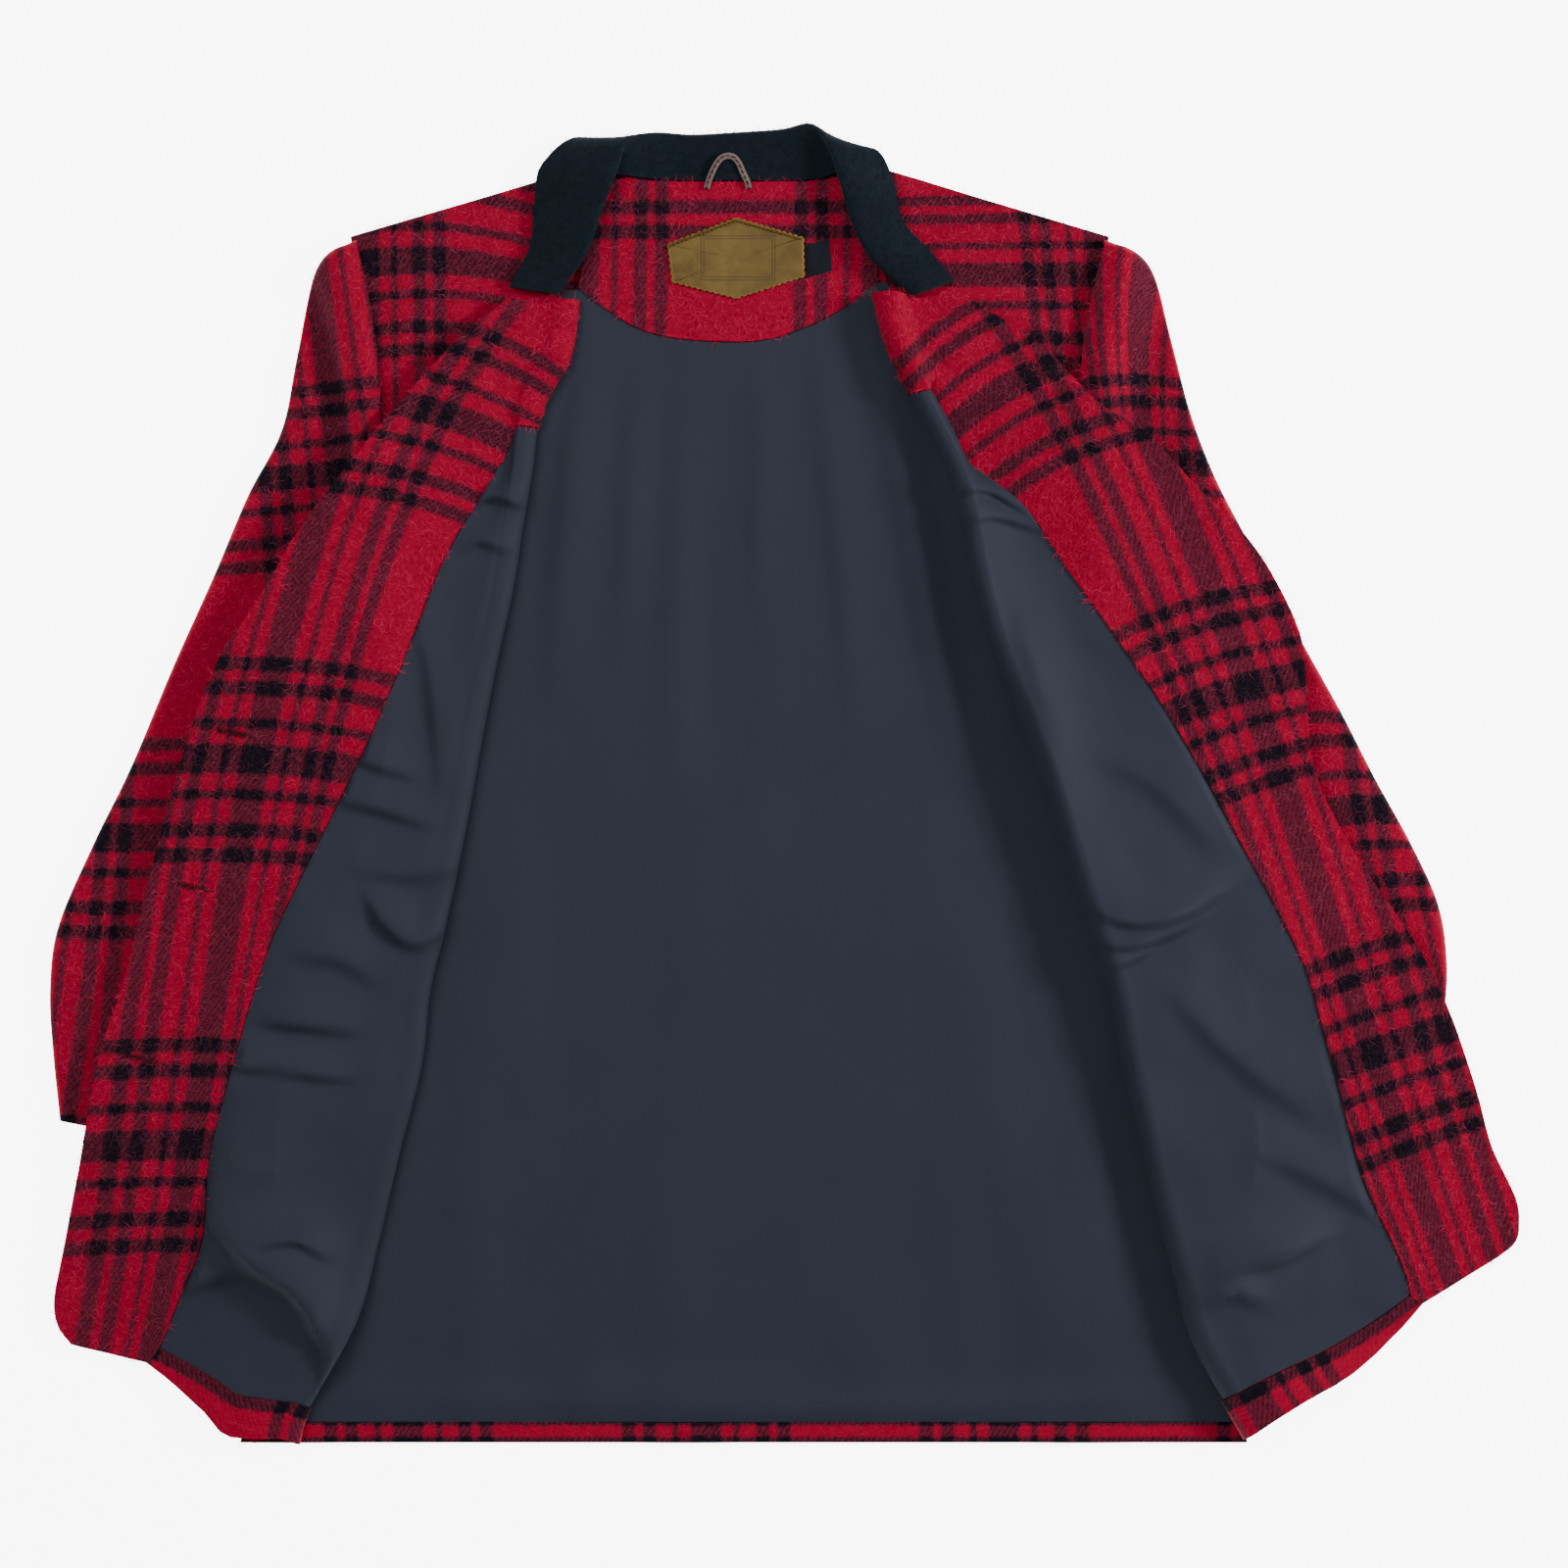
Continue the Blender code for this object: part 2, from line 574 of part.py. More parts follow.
def make_sleeve(bed, side, sleeve, body_side, folds):
    """A tube lying flat: its under side settles on the bed, and its upper side lies a sleeve's height above."""
    outer = np.stack([sleeve["outer_x"], sleeve["outer_y"]], axis=-1)
    inner = np.stack([sleeve["inner_x"], sleeve["inner_y"]], axis=-1)
    half = SLEEVE_HEIGHT / 2
    width = np.linalg.norm(inner - outer, axis=-1, keepdims=True)
    direction = (inner - outer) / width
    plan = between(outer + half * direction, inner - half * direction, SLEEVE_STRETCHES + 1)
    step = np.linspace(0, 1, SLEEVE_STRETCHES + 1)
    plan[..., 0] += body_side * sleeve["bow"][:, None] * 4 * step * (1 - step)
    # The rounded edges reach beyond the plan, so what lies under them counts too.
    wide = plan.copy()
    wide[:, 0] -= half * direction
    wide[:, -1] += half * direction
    found = bed.under(wide[..., 0], wide[..., 1])
    low = settle(found + np.where(found > 0, SEAM_GAP, 0), 2)
    high = low + SLEEVE_HEIGHT + ridges(folds, plan[..., 0], plan[..., 1])
    under = np.concatenate([plan, low[..., None]], axis=-1)
    over = np.concatenate([plan, high[..., None]], axis=-1)

    def edge(column, outward):
        middle = (under[:, column] + over[:, column]) / 2
        rise = (over[:, column, 2] - under[:, column, 2]) / 2
        points = []
        for angle in (-45, 0, 45):
            turn = math.radians(angle)
            point = middle.copy()
            point[:, :2] += outward * half * math.cos(turn)
            point[:, 2] += rise * math.sin(turn)
            points.append(point)
        return np.stack(points, axis=1)

    ring = np.concatenate([under, edge(-1, direction), over[:, ::-1], edge(0, -direction)[:, ::-1]], axis=1)
    stations, count = ring.shape[:2]
    faces = []
    for row in range(stations - 1):
        for i in range(count):
            after = (i + 1) % count
            quad = [row * count + i, row * count + after, (row + 1) * count + after, (row + 1) * count + i]
            faces.append(quad if body_side > 0 else quad[::-1])
    tube = mesh_object(side + "_sleeve", ring.reshape(-1, 3), faces, plaid)
    thicken(tube, WOOL, -1)
    bed.add(np.concatenate([wide, high[..., None]], axis=-1), 0)


# The collar and the trims at the neck

def curve(start, start_handle, end_handle, end, count):
    """Points on a cubic curve for every row at once."""
    t = np.linspace(0, 1, count).reshape(1, -1, 1)
    start, start_handle, end_handle, end = (point[:, None] for point in (start, start_handle, end_handle, end))
    return (
        start * (1 - t) ** 3 + 3 * start_handle * t * (1 - t) ** 2 + 3 * end_handle * t * t * (1 - t) + end * t ** 3
    )


def make_collar():
    seam, roll, leaf = (
        np.stack([COLLAR[name + axis] for axis in ("_x", "_y", "_z")], axis=-1) for name in ("seam", "roll", "leaf")
    )
    turn = np.zeros_like(roll)
    turn[:, 2] = COLLAR["turn"] / 2
    stand = curve(seam, seam + (roll - seam) * [0.6, 0.6, 0.1], roll - turn, roll, 5)
    fall = curve(roll, roll + turn, leaf + (roll - leaf) * 0.5 + turn / 2, leaf, 6)
    profile = np.concatenate([stand, fall[:, 1:]], axis=1)
    sheet("collar", profile, COLLAR_CLOTH, felt)


def hexagon(width, height):
    """A hexagon's corners, with a blunt point above and below and two upright sides."""
    side = height * PATCH_SIDE_SHARE / 2
    return [
        (0, height / 2), (width / 2, side), (width / 2, -side), (0, -height / 2), (-width / 2, -side),
        (-width / 2, side),
    ]


def plate(name, corners, centre, thickness, low, finish):
    """A flat plate: a filled 2D outline given its thickness, lying at the height low."""
    outline = bpy.data.curves.new(name, "CURVE")
    outline.dimensions = "2D"
    outline.fill_mode = "BOTH"
    outline.extrude = thickness / 2 * MM
    spline = outline.splines.new("POLY")
    spline.points.add(len(corners) - 1)
    for point, (x, y) in zip(spline.points, corners):
        point.co = (x * MM, y * MM, 0, 1)
    spline.use_cyclic_u = True
    outline.materials.append(finish)
    made = bpy.data.objects.new(name, outline)
    pieces.objects.link(made)
    made.parent = laid_garment
    made.location = (centre[0] * MM, centre[1] * MM, (low + thickness / 2) * MM)
    return made


def make_neck_trims():
    on_facing = 2 * WOOL + 2 * SEAM_GAP
    plate("neck_patch", hexagon(PATCH_WIDTH, PATCH_HEIGHT), PATCH_CENTRE, PATCH_THICKNESS, on_facing, leather)
    half_width, half_height = TAB_WIDTH / 2, TAB_HEIGHT / 2
    corners = [
        (-half_width, -half_height), (half_width, -half_height), (half_width, half_height), (-half_width, half_height),
    ]
    plate("size_tab", corners, TAB_CENTRE, TAB_THICKNESS, on_facing, satin)

    # The hanger loop rises from the neck seam, lies on the collar's stand and comes back.
    loop_line = np.array([
        (-45, 351, 5.6), (-43.5, 358, 7.0), (-40, 366, 7.6), (-34, 373, 7.6), (-29, 373, 7.6), (-23.5, 366, 7.6),
        (-20.5, 358, 7.0), (-19, 351, 5.6),
    ])
    run = np.gradient(loop_line, axis=0)
    across = unit(np.stack([-run[:, 1], run[:, 0], 0 * run[:, 0]], axis=-1))
    strap = np.stack([loop_line - across * LOOP_WIDTH / 2, loop_line + across * LOOP_WIDTH / 2], axis=1)
    sheet("hanger_loop", strap, LOOP_THICKNESS, tape)


# The buttons

def make_buttons(bed):
    """Discs with a turned rim, lying between the front that they are sewn to and the sleeve under it."""
    for number in range(len(BUTTONS["x"])):
        x, y = BUTTONS["x"][number], BUTTONS["y"][number]
        reach = np.linspace(-BUTTON_RADIUS, BUTTON_RADIUS, 3)
        plan = np.stack(np.meshgrid(x + reach, y + reach), axis=-1)
        low = bed.under(plan[..., 0], plan[..., 1]).max() + SEAM_GAP
        bpy.ops.mesh.primitive_cylinder_add(
            vertices=20, radius=BUTTON_RADIUS * MM, depth=BUTTON_HEIGHT * MM,
            location=(x * MM, y * MM, (low + BUTTON_HEIGHT / 2) * MM),
        )
        button = bpy.context.object
        button.name = f"button_{number + 1}"
        button.data.materials.append(horn)
        rim = button.modifiers.new("rim", "BEVEL")
        rim.width = 0.8 * MM
        rim.segments = 1
        for collection in list(button.users_collection):
            collection.objects.unlink(button)
        pieces.objects.link(button)
        button.parent = laid_garment
        top = low + BUTTON_HEIGHT
        bed.add(np.concatenate([plan, np.full(plan.shape[:2] + (1,), top)], axis=-1), 0)


def centre_on_origin():
    """Moves the whole garment so that the middle of its plan is the origin."""
    bpy.context.view_layer.update()
    graph = bpy.context.evaluated_depsgraph_get()
    corners = []
    for piece in pieces.objects:
        if piece.type == "EMPTY":
            continue
        evaluated = piece.evaluated_get(graph)
        mesh = evaluated.to_mesh()
        points = np.empty(len(mesh.vertices) * 3)
        mesh.vertices.foreach_get("co", points)
        world = np.array(evaluated.matrix_world)
        points = points.reshape(-1, 3) @ world[:3, :3].T + world[:3, 3]
        corners += [points.min(axis=0), points.max(axis=0)]
        evaluated.to_mesh_clear()
    low, high = np.min(corners, axis=0), np.max(corners, axis=0)
    laid_garment.location = (-(low[0] + high[0]) / 2, -(low[1] + high[1]) / 2, -low[2])


for existing in list(bpy.data.objects):
    bpy.data.objects.remove(existing, do_unlink=True)
pieces = bpy.data.collections.new("wool_blazer")
bpy.context.scene.collection.children.link(pieces)
laid_garment = bpy.data.objects.new("laid_garment", None)
pieces.objects.link(laid_garment)

plaid = material("wool plaid", (0.36, 0.02, 0.04), 0.95)
satin = material("lining satin", (0.035, 0.042, 0.055), 0.5)
felt = material("collar felt", (0.008, 0.014, 0.02), 0.95)
leather = material("patch leather", (0.21, 0.14, 0.045), 0.75)
tape = material("loop tape", (0.16, 0.1, 0.09), 0.8)
horn = material("button", (0.05, 0.03, 0.025), 0.35)

height_map = Bed()
make_back(height_map)
left_under = under_layer(height_map, LEFT_SHOULDER, LEFT_FRONT)
right_under = under_layer(height_map, RIGHT_SHOULDER, RIGHT_FRONT)
height_map.add(left_under, WOOL / 2)
height_map.add(right_under, WOOL / 2)
make_sleeve(height_map, "left", LEFT_SLEEVE, 1, LEFT_SLEEVE_FOLDS)
make_sleeve(height_map, "right", RIGHT_SLEEVE, -1, RIGHT_SLEEVE_FOLDS)
make_buttons(height_map)
make_front(height_map, "left", LEFT_SHOULDER, LEFT_FRONT, left_under, LEFT_FOLDS)
make_front(height_map, "right", RIGHT_SHOULDER, RIGHT_FRONT, right_under, RIGHT_FOLDS)
make_collar()
make_neck_trims()
centre_on_origin()
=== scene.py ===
# %% [markdown]
# # A wool blazer laid open, in Blender
#
# The blazer lies open on its back, and the camera looks straight down at it. Its cloth is a red and black
# check, its lining charcoal satin, its collar dark felt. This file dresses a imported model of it: each piece
# of cloth is made again here as a finer sheet, in the order in which the garment is laid down, and every
# sheet settles on the ones below it.
#
# Sizes in the tables are in millimetres, and meshes are in metres, so a helper turns one into the other.

import math

import bmesh
import bpy
import numpy as np
from mathutils import Matrix, Vector, noise


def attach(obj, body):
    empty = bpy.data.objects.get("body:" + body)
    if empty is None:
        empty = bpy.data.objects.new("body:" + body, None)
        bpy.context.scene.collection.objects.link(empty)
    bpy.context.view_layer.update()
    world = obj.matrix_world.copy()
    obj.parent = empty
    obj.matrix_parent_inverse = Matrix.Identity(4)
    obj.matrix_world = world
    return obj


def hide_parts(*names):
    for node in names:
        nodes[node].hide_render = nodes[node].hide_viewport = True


MM = 0.001
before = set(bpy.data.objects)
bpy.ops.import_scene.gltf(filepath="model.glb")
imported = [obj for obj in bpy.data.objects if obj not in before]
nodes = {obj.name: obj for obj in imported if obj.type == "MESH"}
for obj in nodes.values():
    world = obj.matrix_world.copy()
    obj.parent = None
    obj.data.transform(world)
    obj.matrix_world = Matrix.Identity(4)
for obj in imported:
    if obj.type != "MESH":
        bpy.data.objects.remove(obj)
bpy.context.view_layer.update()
print("nodes:", ", ".join(sorted(nodes)))

# %% [markdown]
# ## The view
#
# The photograph was taken from straight above, so the camera hangs over the middle of the garment and looks
# down with a long lens. A long lens from far away keeps the sleeves' outer edges from leaning outwards. The
# image's width shows 928 mm of floor, which sets the lens once the height is chosen.

# %% Camera
SHOWN_WIDTH = 928.0
CAMERA_HEIGHT = 3400.0
SENSOR_WIDTH = 36.0

camera_data = bpy.data.cameras.new("camera")
camera_data.sensor_width = SENSOR_WIDTH
camera_data.lens = SENSOR_WIDTH * CAMERA_HEIGHT / SHOWN_WIDTH
camera_data.clip_end = 20
camera = bpy.data.objects.new("camera", camera_data)
camera.location = (0, 0, CAMERA_HEIGHT * MM)
bpy.context.scene.collection.objects.link(camera)
bpy.context.scene.camera = camera
print("lens", round(camera_data.lens), "mm")

# %% [markdown]
# ## Floor and light
#
# Product photographs of clothes use a white floor and big soft lights. Cloth that lies flat has folds only
# a few millimetres high, so one light stands low at the garment's side, where it rakes across them and the
# rolls of the fronts throw soft shadows. A second one overhead opens the shadows up, and a pale world fills
# what is left. The floor glows a little, as a lit table does, so that it stays white.

# %% Floor and lights
FLOOR_SIZE = 6.0
FLOOR_DROP = 0.0004
FLOOR_GLOW = 7.0
ROOM_GLOW = 0.45


def plain_material(name, colour, roughness):
    made = bpy.data.materials.new(name)
    made.use_nodes = True
    shader = made.node_tree.nodes["Principled BSDF"]
    shader.inputs["Base Color"].default_value = (*colour, 1)
    shader.inputs["Roughness"].default_value = roughness
    return made


def soft_light(name, place, size, power):
    data = bpy.data.lights.new(name, "AREA")
    data.shape = "DISK"
    data.size = size
    data.energy = power
    light = bpy.data.objects.new(name, data)
    light.location = place
    light.rotation_euler = Vector(place).to_track_quat("Z", "Y").to_euler()
    bpy.context.scene.collection.objects.link(light)


floor_mesh = bpy.data.meshes.new("floor")
half_floor = FLOOR_SIZE / 2
floor_mesh.from_pydata(
    [(-half_floor, -half_floor, -FLOOR_DROP), (half_floor, -half_floor, -FLOOR_DROP),
     (half_floor, half_floor, -FLOOR_DROP), (-half_floor, half_floor, -FLOOR_DROP)],
    [], [(0, 1, 2, 3)],
)
floor_white = plain_material("floor white", (0.9, 0.9, 0.9), 0.9)
floor_inputs = floor_white.node_tree.nodes["Principled BSDF"].inputs
floor_inputs["Emission Color"].default_value = (1, 1, 1, 1)
floor_inputs["Emission Strength"].default_value = FLOOR_GLOW
floor_mesh.materials.append(floor_white)
floor = bpy.data.objects.new("floor", floor_mesh)
bpy.context.scene.collection.objects.link(floor)

soft_light("low key", (2.4, 0.5, 1.4), 0.6, 114)
soft_light("overhead", (-1.0, 0.9, 2.4), 1.8, 60)
world = bpy.data.worlds.new("soft room")
world.use_nodes = True
world_inputs = world.node_tree.nodes["Background"].inputs
world_inputs["Color"].default_value = (1, 1, 1, 1)
world_inputs["Strength"].default_value = ROOM_GLOW
bpy.context.scene.world = world
print("lights:", ", ".join(light.name for light in bpy.data.lights))

# %% [markdown]
# ## Building materials from nodes
#
# Several finishes share the same effects: the two threads of a weave, short fibres, broad mottling. Each
# such effect is a node group, built once, with named inputs and outputs. These helpers keep the node code
# short: `Group` makes the group and its sockets, `feed` fills an input, `node` adds any node, and the rest
# add those used most.

# %% Node helpers
class Group:
    """A shader node group under construction."""

    def __init__(self, name, inputs, outputs):
        self.tree = bpy.data.node_groups.new(name, "ShaderNodeTree")
        for label, kind, value in inputs:
            socket = self.tree.interface.new_socket(label, in_out="INPUT", socket_type=kind)
            if value is not None:
                socket.default_value = value
        for label, kind in outputs:
            self.tree.interface.new_socket(label, in_out="OUTPUT", socket_type=kind)
        self.input = self.tree.nodes.new("NodeGroupInput").outputs
        self.output = self.tree.nodes.new("NodeGroupOutput").inputs

    def put(self, label, socket):
        self.tree.links.new(socket, self.output[label])


def feed(tree, socket, value):
    """Links an input to another node's socket, or sets it to a value."""
    if isinstance(value, bpy.types.NodeSocket):
        tree.links.new(value, socket)
    else:
        socket.default_value = value


def node(tree, kind, settings=(), **inputs):
    """A node of a kind, with its settings, and its inputs linked from sockets or set to values."""
    made = tree.nodes.new(kind)
    for name, value in dict(settings).items():
        setattr(made, name, value)
    for name, value in inputs.items():
        label = int(name[1:]) if name[1:].isdigit() else name.replace("_", " ")
        feed(tree, made.inputs[label], value)
    return made


def math_node(tree, operation, first, second=0.0, third=0.0):
    return node(tree, "ShaderNodeMath", {"operation": operation}, _0=first, _1=second, _2=third).outputs[0]


def vector_node(tree, operation, first, **others):
    return node(tree, "ShaderNodeVectorMath", {"operation": operation}, _0=first, **others).outputs[0]


def mix(tree, factor, first, second):
    """A colour mix; colours are sockets or (r, g, b)."""
    made = tree.nodes.new("ShaderNodeMix")
    made.data_type = "RGBA"
    for index, value in ((0, factor), (6, first), (7, second)):
        feed(tree, made.inputs[index], (*value, 1) if isinstance(value, tuple) else value)
    return made.outputs[2]


def ramp_of(tree, factor, stops):
    """A colour ramp whose stops are (position, grey value)."""
    ramp = tree.nodes.new("ShaderNodeValToRGB")
    ramp.color_ramp.interpolation = "LINEAR"
    elements = ramp.color_ramp.elements
    while len(elements) > 1:
        elements.remove(elements[-1])
    for index, (position, value) in enumerate(stops):
        element = elements[0] if index == 0 else elements.new(position)
        element.position = position
        element.color = (value, value, value, 1)
    tree.links.new(factor, ramp.inputs["Fac"])
    return ramp.outputs["Color"]


def grained(tree, vector, scale, detail=2.0, roughness=0.5, distortion=0.0):
    """Noise from 0 to 1 at a scale in waves a metre."""
    return node(
        tree, "ShaderNodeTexNoise", Vector=vector, Scale=scale, Detail=detail, Roughness=roughness,
        Distortion=distortion,
    ).outputs["Fac"]


def linear(red, green, blue):
    """A screen colour from 0 to 255 as the linear values that a shader takes."""
    return tuple(
        ((level / 255 + 0.055) / 1.055) ** 2.4 if level > 10 else level / 255 / 12.92
        for level in (red, green, blue)
    )


print("white in linear values:", linear(255, 255, 255))

# %% [markdown]
# ## The check
#
# A check is not printed: dark and red yarns alternate along the cloth and across it, and each place shows
# whichever yarn lies on top. So the material works as the loom does. One ramp says which lengthwise yarns
# are dark and another which crosswise yarns are, and the twill's diagonal says which of the two is on top
# at each point. Where both are dark the cloth is nearly black, where both are red it is plain, and
# elsewhere the diagonal shows.
#
# The yarns are read from the UV map, which holds metres of cloth, so that the pattern bends with each
# piece's own grain. The stripes' order is the same both ways: a wide one in the middle, a thin, a middling
# and a last one on each side, and then a wide red ground.

# %% Check group
ACROSS_REPEAT = 176.0
ACROSS_STRIPES = (
    (-46.0, 8.0), (-33.5, 8.0), (-18.0, 4.0), (0.0, 18.0), (18.0, 4.0), (33.5, 8.0), (46.0, 8.0),
)
ALONG_REPEAT = 228.0
ALONG_STRIPES = (
    (-58.0, 8.5), (-43.0, 8.5), (-21.5, 6.0), (0.0, 18.0), (21.5, 6.0), (43.0, 8.5), (58.0, 8.5),
)
TWILL_WIDTH = 3.3
TWILL_RISE = 0.62
CROSS_SHARE = 0.66
SOFT_TOP = 0.16
SOFT_EDGE = 0.8
WANDER_SCALE = 480.0
WANDER_REACH = 0.008


def stripe_stops(stripes, repeat):
    """Ramp stops for stripes of (centre, width), with soft edges and the repeat's middle at 0.5."""
    stops = []
    for centre, width in stripes:
        half = width / 2
        offsets = -half - SOFT_EDGE, -half + SOFT_EDGE, half - SOFT_EDGE, half + SOFT_EDGE
        for offset, value in zip(offsets, (0.0, 1.0, 1.0, 0.0)):
            stops.append(((centre + offset) / repeat + 0.5, value))
    return stops


def build_check():
    group = Group(
        "woven check",
        [("Cloth", "NodeSocketVector", None), ("Fray", "NodeSocketFloat", 0.7)],
        [(label, "NodeSocketFloat") for label in ("Any dark", "Both dark", "Dark on top", "Twill")],
    )
    tree = group.tree
    # The yarns wander a little, which frays the stripes' edges.
    wander = node(
        tree, "ShaderNodeTexNoise", Vector=group.input["Cloth"], Scale=WANDER_SCALE, Detail=3.0,
        Roughness=0.7,
    ).outputs["Color"]
    centred = vector_node(tree, "SUBTRACT", wander, _1=(0.5, 0.5, 0.5))
    reach = math_node(tree, "MULTIPLY", group.input["Fray"], WANDER_REACH)
    shifted = vector_node(tree, "SCALE", centred, Scale=reach)
    place = vector_node(tree, "ADD", group.input["Cloth"], _1=shifted)
    split = node(tree, "ShaderNodeSeparateXYZ", Vector=place).outputs

    def dark_yarns(coordinate, repeat, stripes):
        turns = math_node(tree, "MULTIPLY_ADD", coordinate, 1000 / repeat, 0.5)
        return ramp_of(tree, math_node(tree, "FRACT", turns), stripe_stops(stripes, repeat))

    lengthwise = dark_yarns(split["X"], ACROSS_REPEAT, ACROSS_STRIPES)
    crosswise = dark_yarns(split["Y"], ALONG_REPEAT, ALONG_STRIPES)
    raised = math_node(tree, "MULTIPLY", split["Y"], TWILL_RISE)
    leaning = math_node(tree, "SUBTRACT", split["X"], raised)
    diagonal = math_node(tree, "MULTIPLY", leaning, 1000 / TWILL_WIDTH)
    wave = math_node(tree, "PINGPONG", diagonal, 0.5)
    change = 0.5 * (1 - CROSS_SHARE)
    on_top = node(
        tree, "ShaderNodeMapRange", {"interpolation_type": "SMOOTHSTEP"}, Value=wave,
        From_Min=change - SOFT_TOP, From_Max=change + SOFT_TOP,
    ).outputs["Result"]
    dark = node(
        tree, "ShaderNodeMix", {"data_type": "FLOAT"}, _0=on_top, _2=lengthwise, _3=crosswise,
    ).outputs[0]
    group.put("Dark on top", dark)
    group.put("Any dark", math_node(tree, "MAXIMUM", lengthwise, crosswise))
    group.put("Both dark", math_node(tree, "MULTIPLY", lengthwise, crosswise))
    group.put("Twill", wave)
    return group.tree


check_group = build_check()
print("check repeat", ACROSS_REPEAT, "x", ALONG_REPEAT, "mm")

# %% [markdown]
# ## Brushed fibres
#
# Coat wool is brushed after weaving, so loose fibres veil the weave. From a distance that shows as fine
# streaks that run every way, lighter than the yarn, and as patches where the nap lies one way or the other.
# This group makes both from stretched noise: the streaks for colour and bump, the patches to vary them.

# %% Fibre group
STREAKS = ((0.5, 210.0), (-0.7, 260.0), (1.6, 240.0))
STREAK_STRETCH = 4.5
PATCH_SCALE = 42.0


def build_fibres():
    group = Group(
        "brushed fibres",
        [("Cloth", "NodeSocketVector", None), ("Size", "NodeSocketFloat", 1.0)],
        [("Streaks", "NodeSocketFloat"), ("Patches", "NodeSocketFloat")],
    )
    tree = group.tree
    scale = math_node(tree, "DIVIDE", 1.0, group.input["Size"])
    broad = grained(tree, group.input["Cloth"], PATCH_SCALE, 3.0, 0.6)
    streaks = []
    for turn, stretch in STREAKS:
        turned = node(
            tree, "ShaderNodeMapping", Vector=group.input["Cloth"], Rotation=(0, 0, turn),
            Scale=(stretch, STREAK_STRETCH * stretch, 1),
        ).outputs[0]
        streaks.append(grained(tree, turned, scale, 2.0, 0.6, 1.2))
    chosen = math_node(tree, "MAXIMUM", math_node(tree, "MAXIMUM", streaks[0], streaks[1]), streaks[2])
    group.put("Streaks", chosen)
    group.put("Patches", broad)
    return group.tree


fibre_group = build_fibres()
print("streaks run", len(STREAKS), "ways")


def with_group(tree, group, **inputs):
    made = tree.nodes.new("ShaderNodeGroup")
    made.node_tree = group
    for name, value in inputs.items():
        feed(tree, made.inputs[name.replace("_", " ")], value)
    return made.outputs


# %% [markdown]
# ## The wool
#
# The check and the fibres meet in one material. Red yarn and dark yarn are two colours. Where one lies over
# the other the mixture looks maroon, because the brushed nap carries red fibres over the dark yarn. A
# little sheen stands for the nap at grazing angles, and the bump comes from the twill and the streaks
# together.

# %% Wool material
RED = linear(134, 5, 34)
DEEP_RED = linear(112, 3, 28)
PINK_FIBRE = linear(160, 24, 58)
DARK = linear(5, 5, 13)
MIXED_RED = linear(84, 15, 33)
MIXED_DARK = linear(34, 9, 20)
MAROON_FIBRE = linear(98, 34, 52)
DARK_FIBRE = linear(46, 26, 38)
# Fibres over plain red, over the mixture and over the dark crossings.
DEEP_FIBRES = (linear(112, 4, 28), linear(50, 10, 24), linear(10, 7, 15))
PALE_FIBRES = (linear(174, 34, 68), linear(116, 46, 64), linear(60, 34, 47))
CLOTH_UV = "cloth"
FIBRE_SHADE = "shade"


def start_material(name):
    made = bpy.data.materials.new(name)
    made.use_nodes = True
    tree = made.node_tree
    return made, tree, tree.nodes["Principled BSDF"]


def bump(tree, shader, height, strength, distance):
    made = node(tree, "ShaderNodeBump", Height=height, Strength=strength, Distance=distance)
    tree.links.new(made.outputs["Normal"], shader.inputs["Normal"])


def wool_material(name, veil, relief):
    """The check with its nap. veil is how much the loose fibres cover, relief how deep the weave is."""
    made, tree, shader = start_material(name)
    cloth = node(tree, "ShaderNodeAttribute", {"attribute_name": CLOTH_UV}).outputs["Vector"]
    check = with_group(tree, check_group, Cloth=cloth)
    fibres = with_group(tree, fibre_group, Cloth=cloth)
    red = mix(tree, fibres["Patches"], DEEP_RED, RED)
    mixed = mix(tree, check["Dark on top"], MIXED_RED, MIXED_DARK)
    yarn = mix(tree, check["Both dark"], mix(tree, check["Any dark"], red, mixed), DARK)
    streak = ramp_of(tree, fibres["Streaks"], [(0.54, 0.0), (0.74, 1.0)])
    loose = mix(tree, check["Both dark"], mix(tree, check["Any dark"], PINK_FIBRE, MAROON_FIBRE), DARK_FIBRE)
    veiled = mix(tree, math_node(tree, "MULTIPLY", streak, veil), yarn, loose)
    tree.links.new(veiled, shader.inputs["Base Color"])
    shader.inputs["Roughness"].default_value = 0.95
    shader.inputs["Sheen Weight"].default_value = 0.02
    shader.inputs["Sheen Roughness"].default_value = 0.5
    shader.inputs["Specular IOR Level"].default_value = 0.05
    height = math_node(tree, "MULTIPLY_ADD", check["Twill"], 0.7, fibres["Streaks"])
    bump(tree, shader, height, relief, 0.0007)
    return made


def wool_fibre_material():
    """Single fibres: each has the colour of the place where it stands, in its own shade of it."""
    made, tree, shader = start_material("wool nap fibres")
    cloth = node(tree, "ShaderNodeAttribute", {"attribute_name": CLOTH_UV}).outputs["Vector"]
    shade = node(tree, "ShaderNodeAttribute", {"attribute_name": FIBRE_SHADE}).outputs["Fac"]
    check = with_group(tree, check_group, Cloth=cloth, Fray=1.5)
    deep, pale = (
        mix(tree, check["Both dark"], mix(tree, check["Any dark"], plain, mixed), dark)
        for plain, mixed, dark in (DEEP_FIBRES, PALE_FIBRES)
    )
    tree.links.new(mix(tree, shade, deep, pale), shader.inputs["Base Color"])
    shader.inputs["Roughness"].default_value = 0.9
    shader.inputs["Specular IOR Level"].default_value = 0.02
    return made


wool = wool_material("brushed wool check", 0.45, 0.7)
wool_fibre = wool_fibre_material()
print("materials:", wool.name, "and", wool_fibre.name)

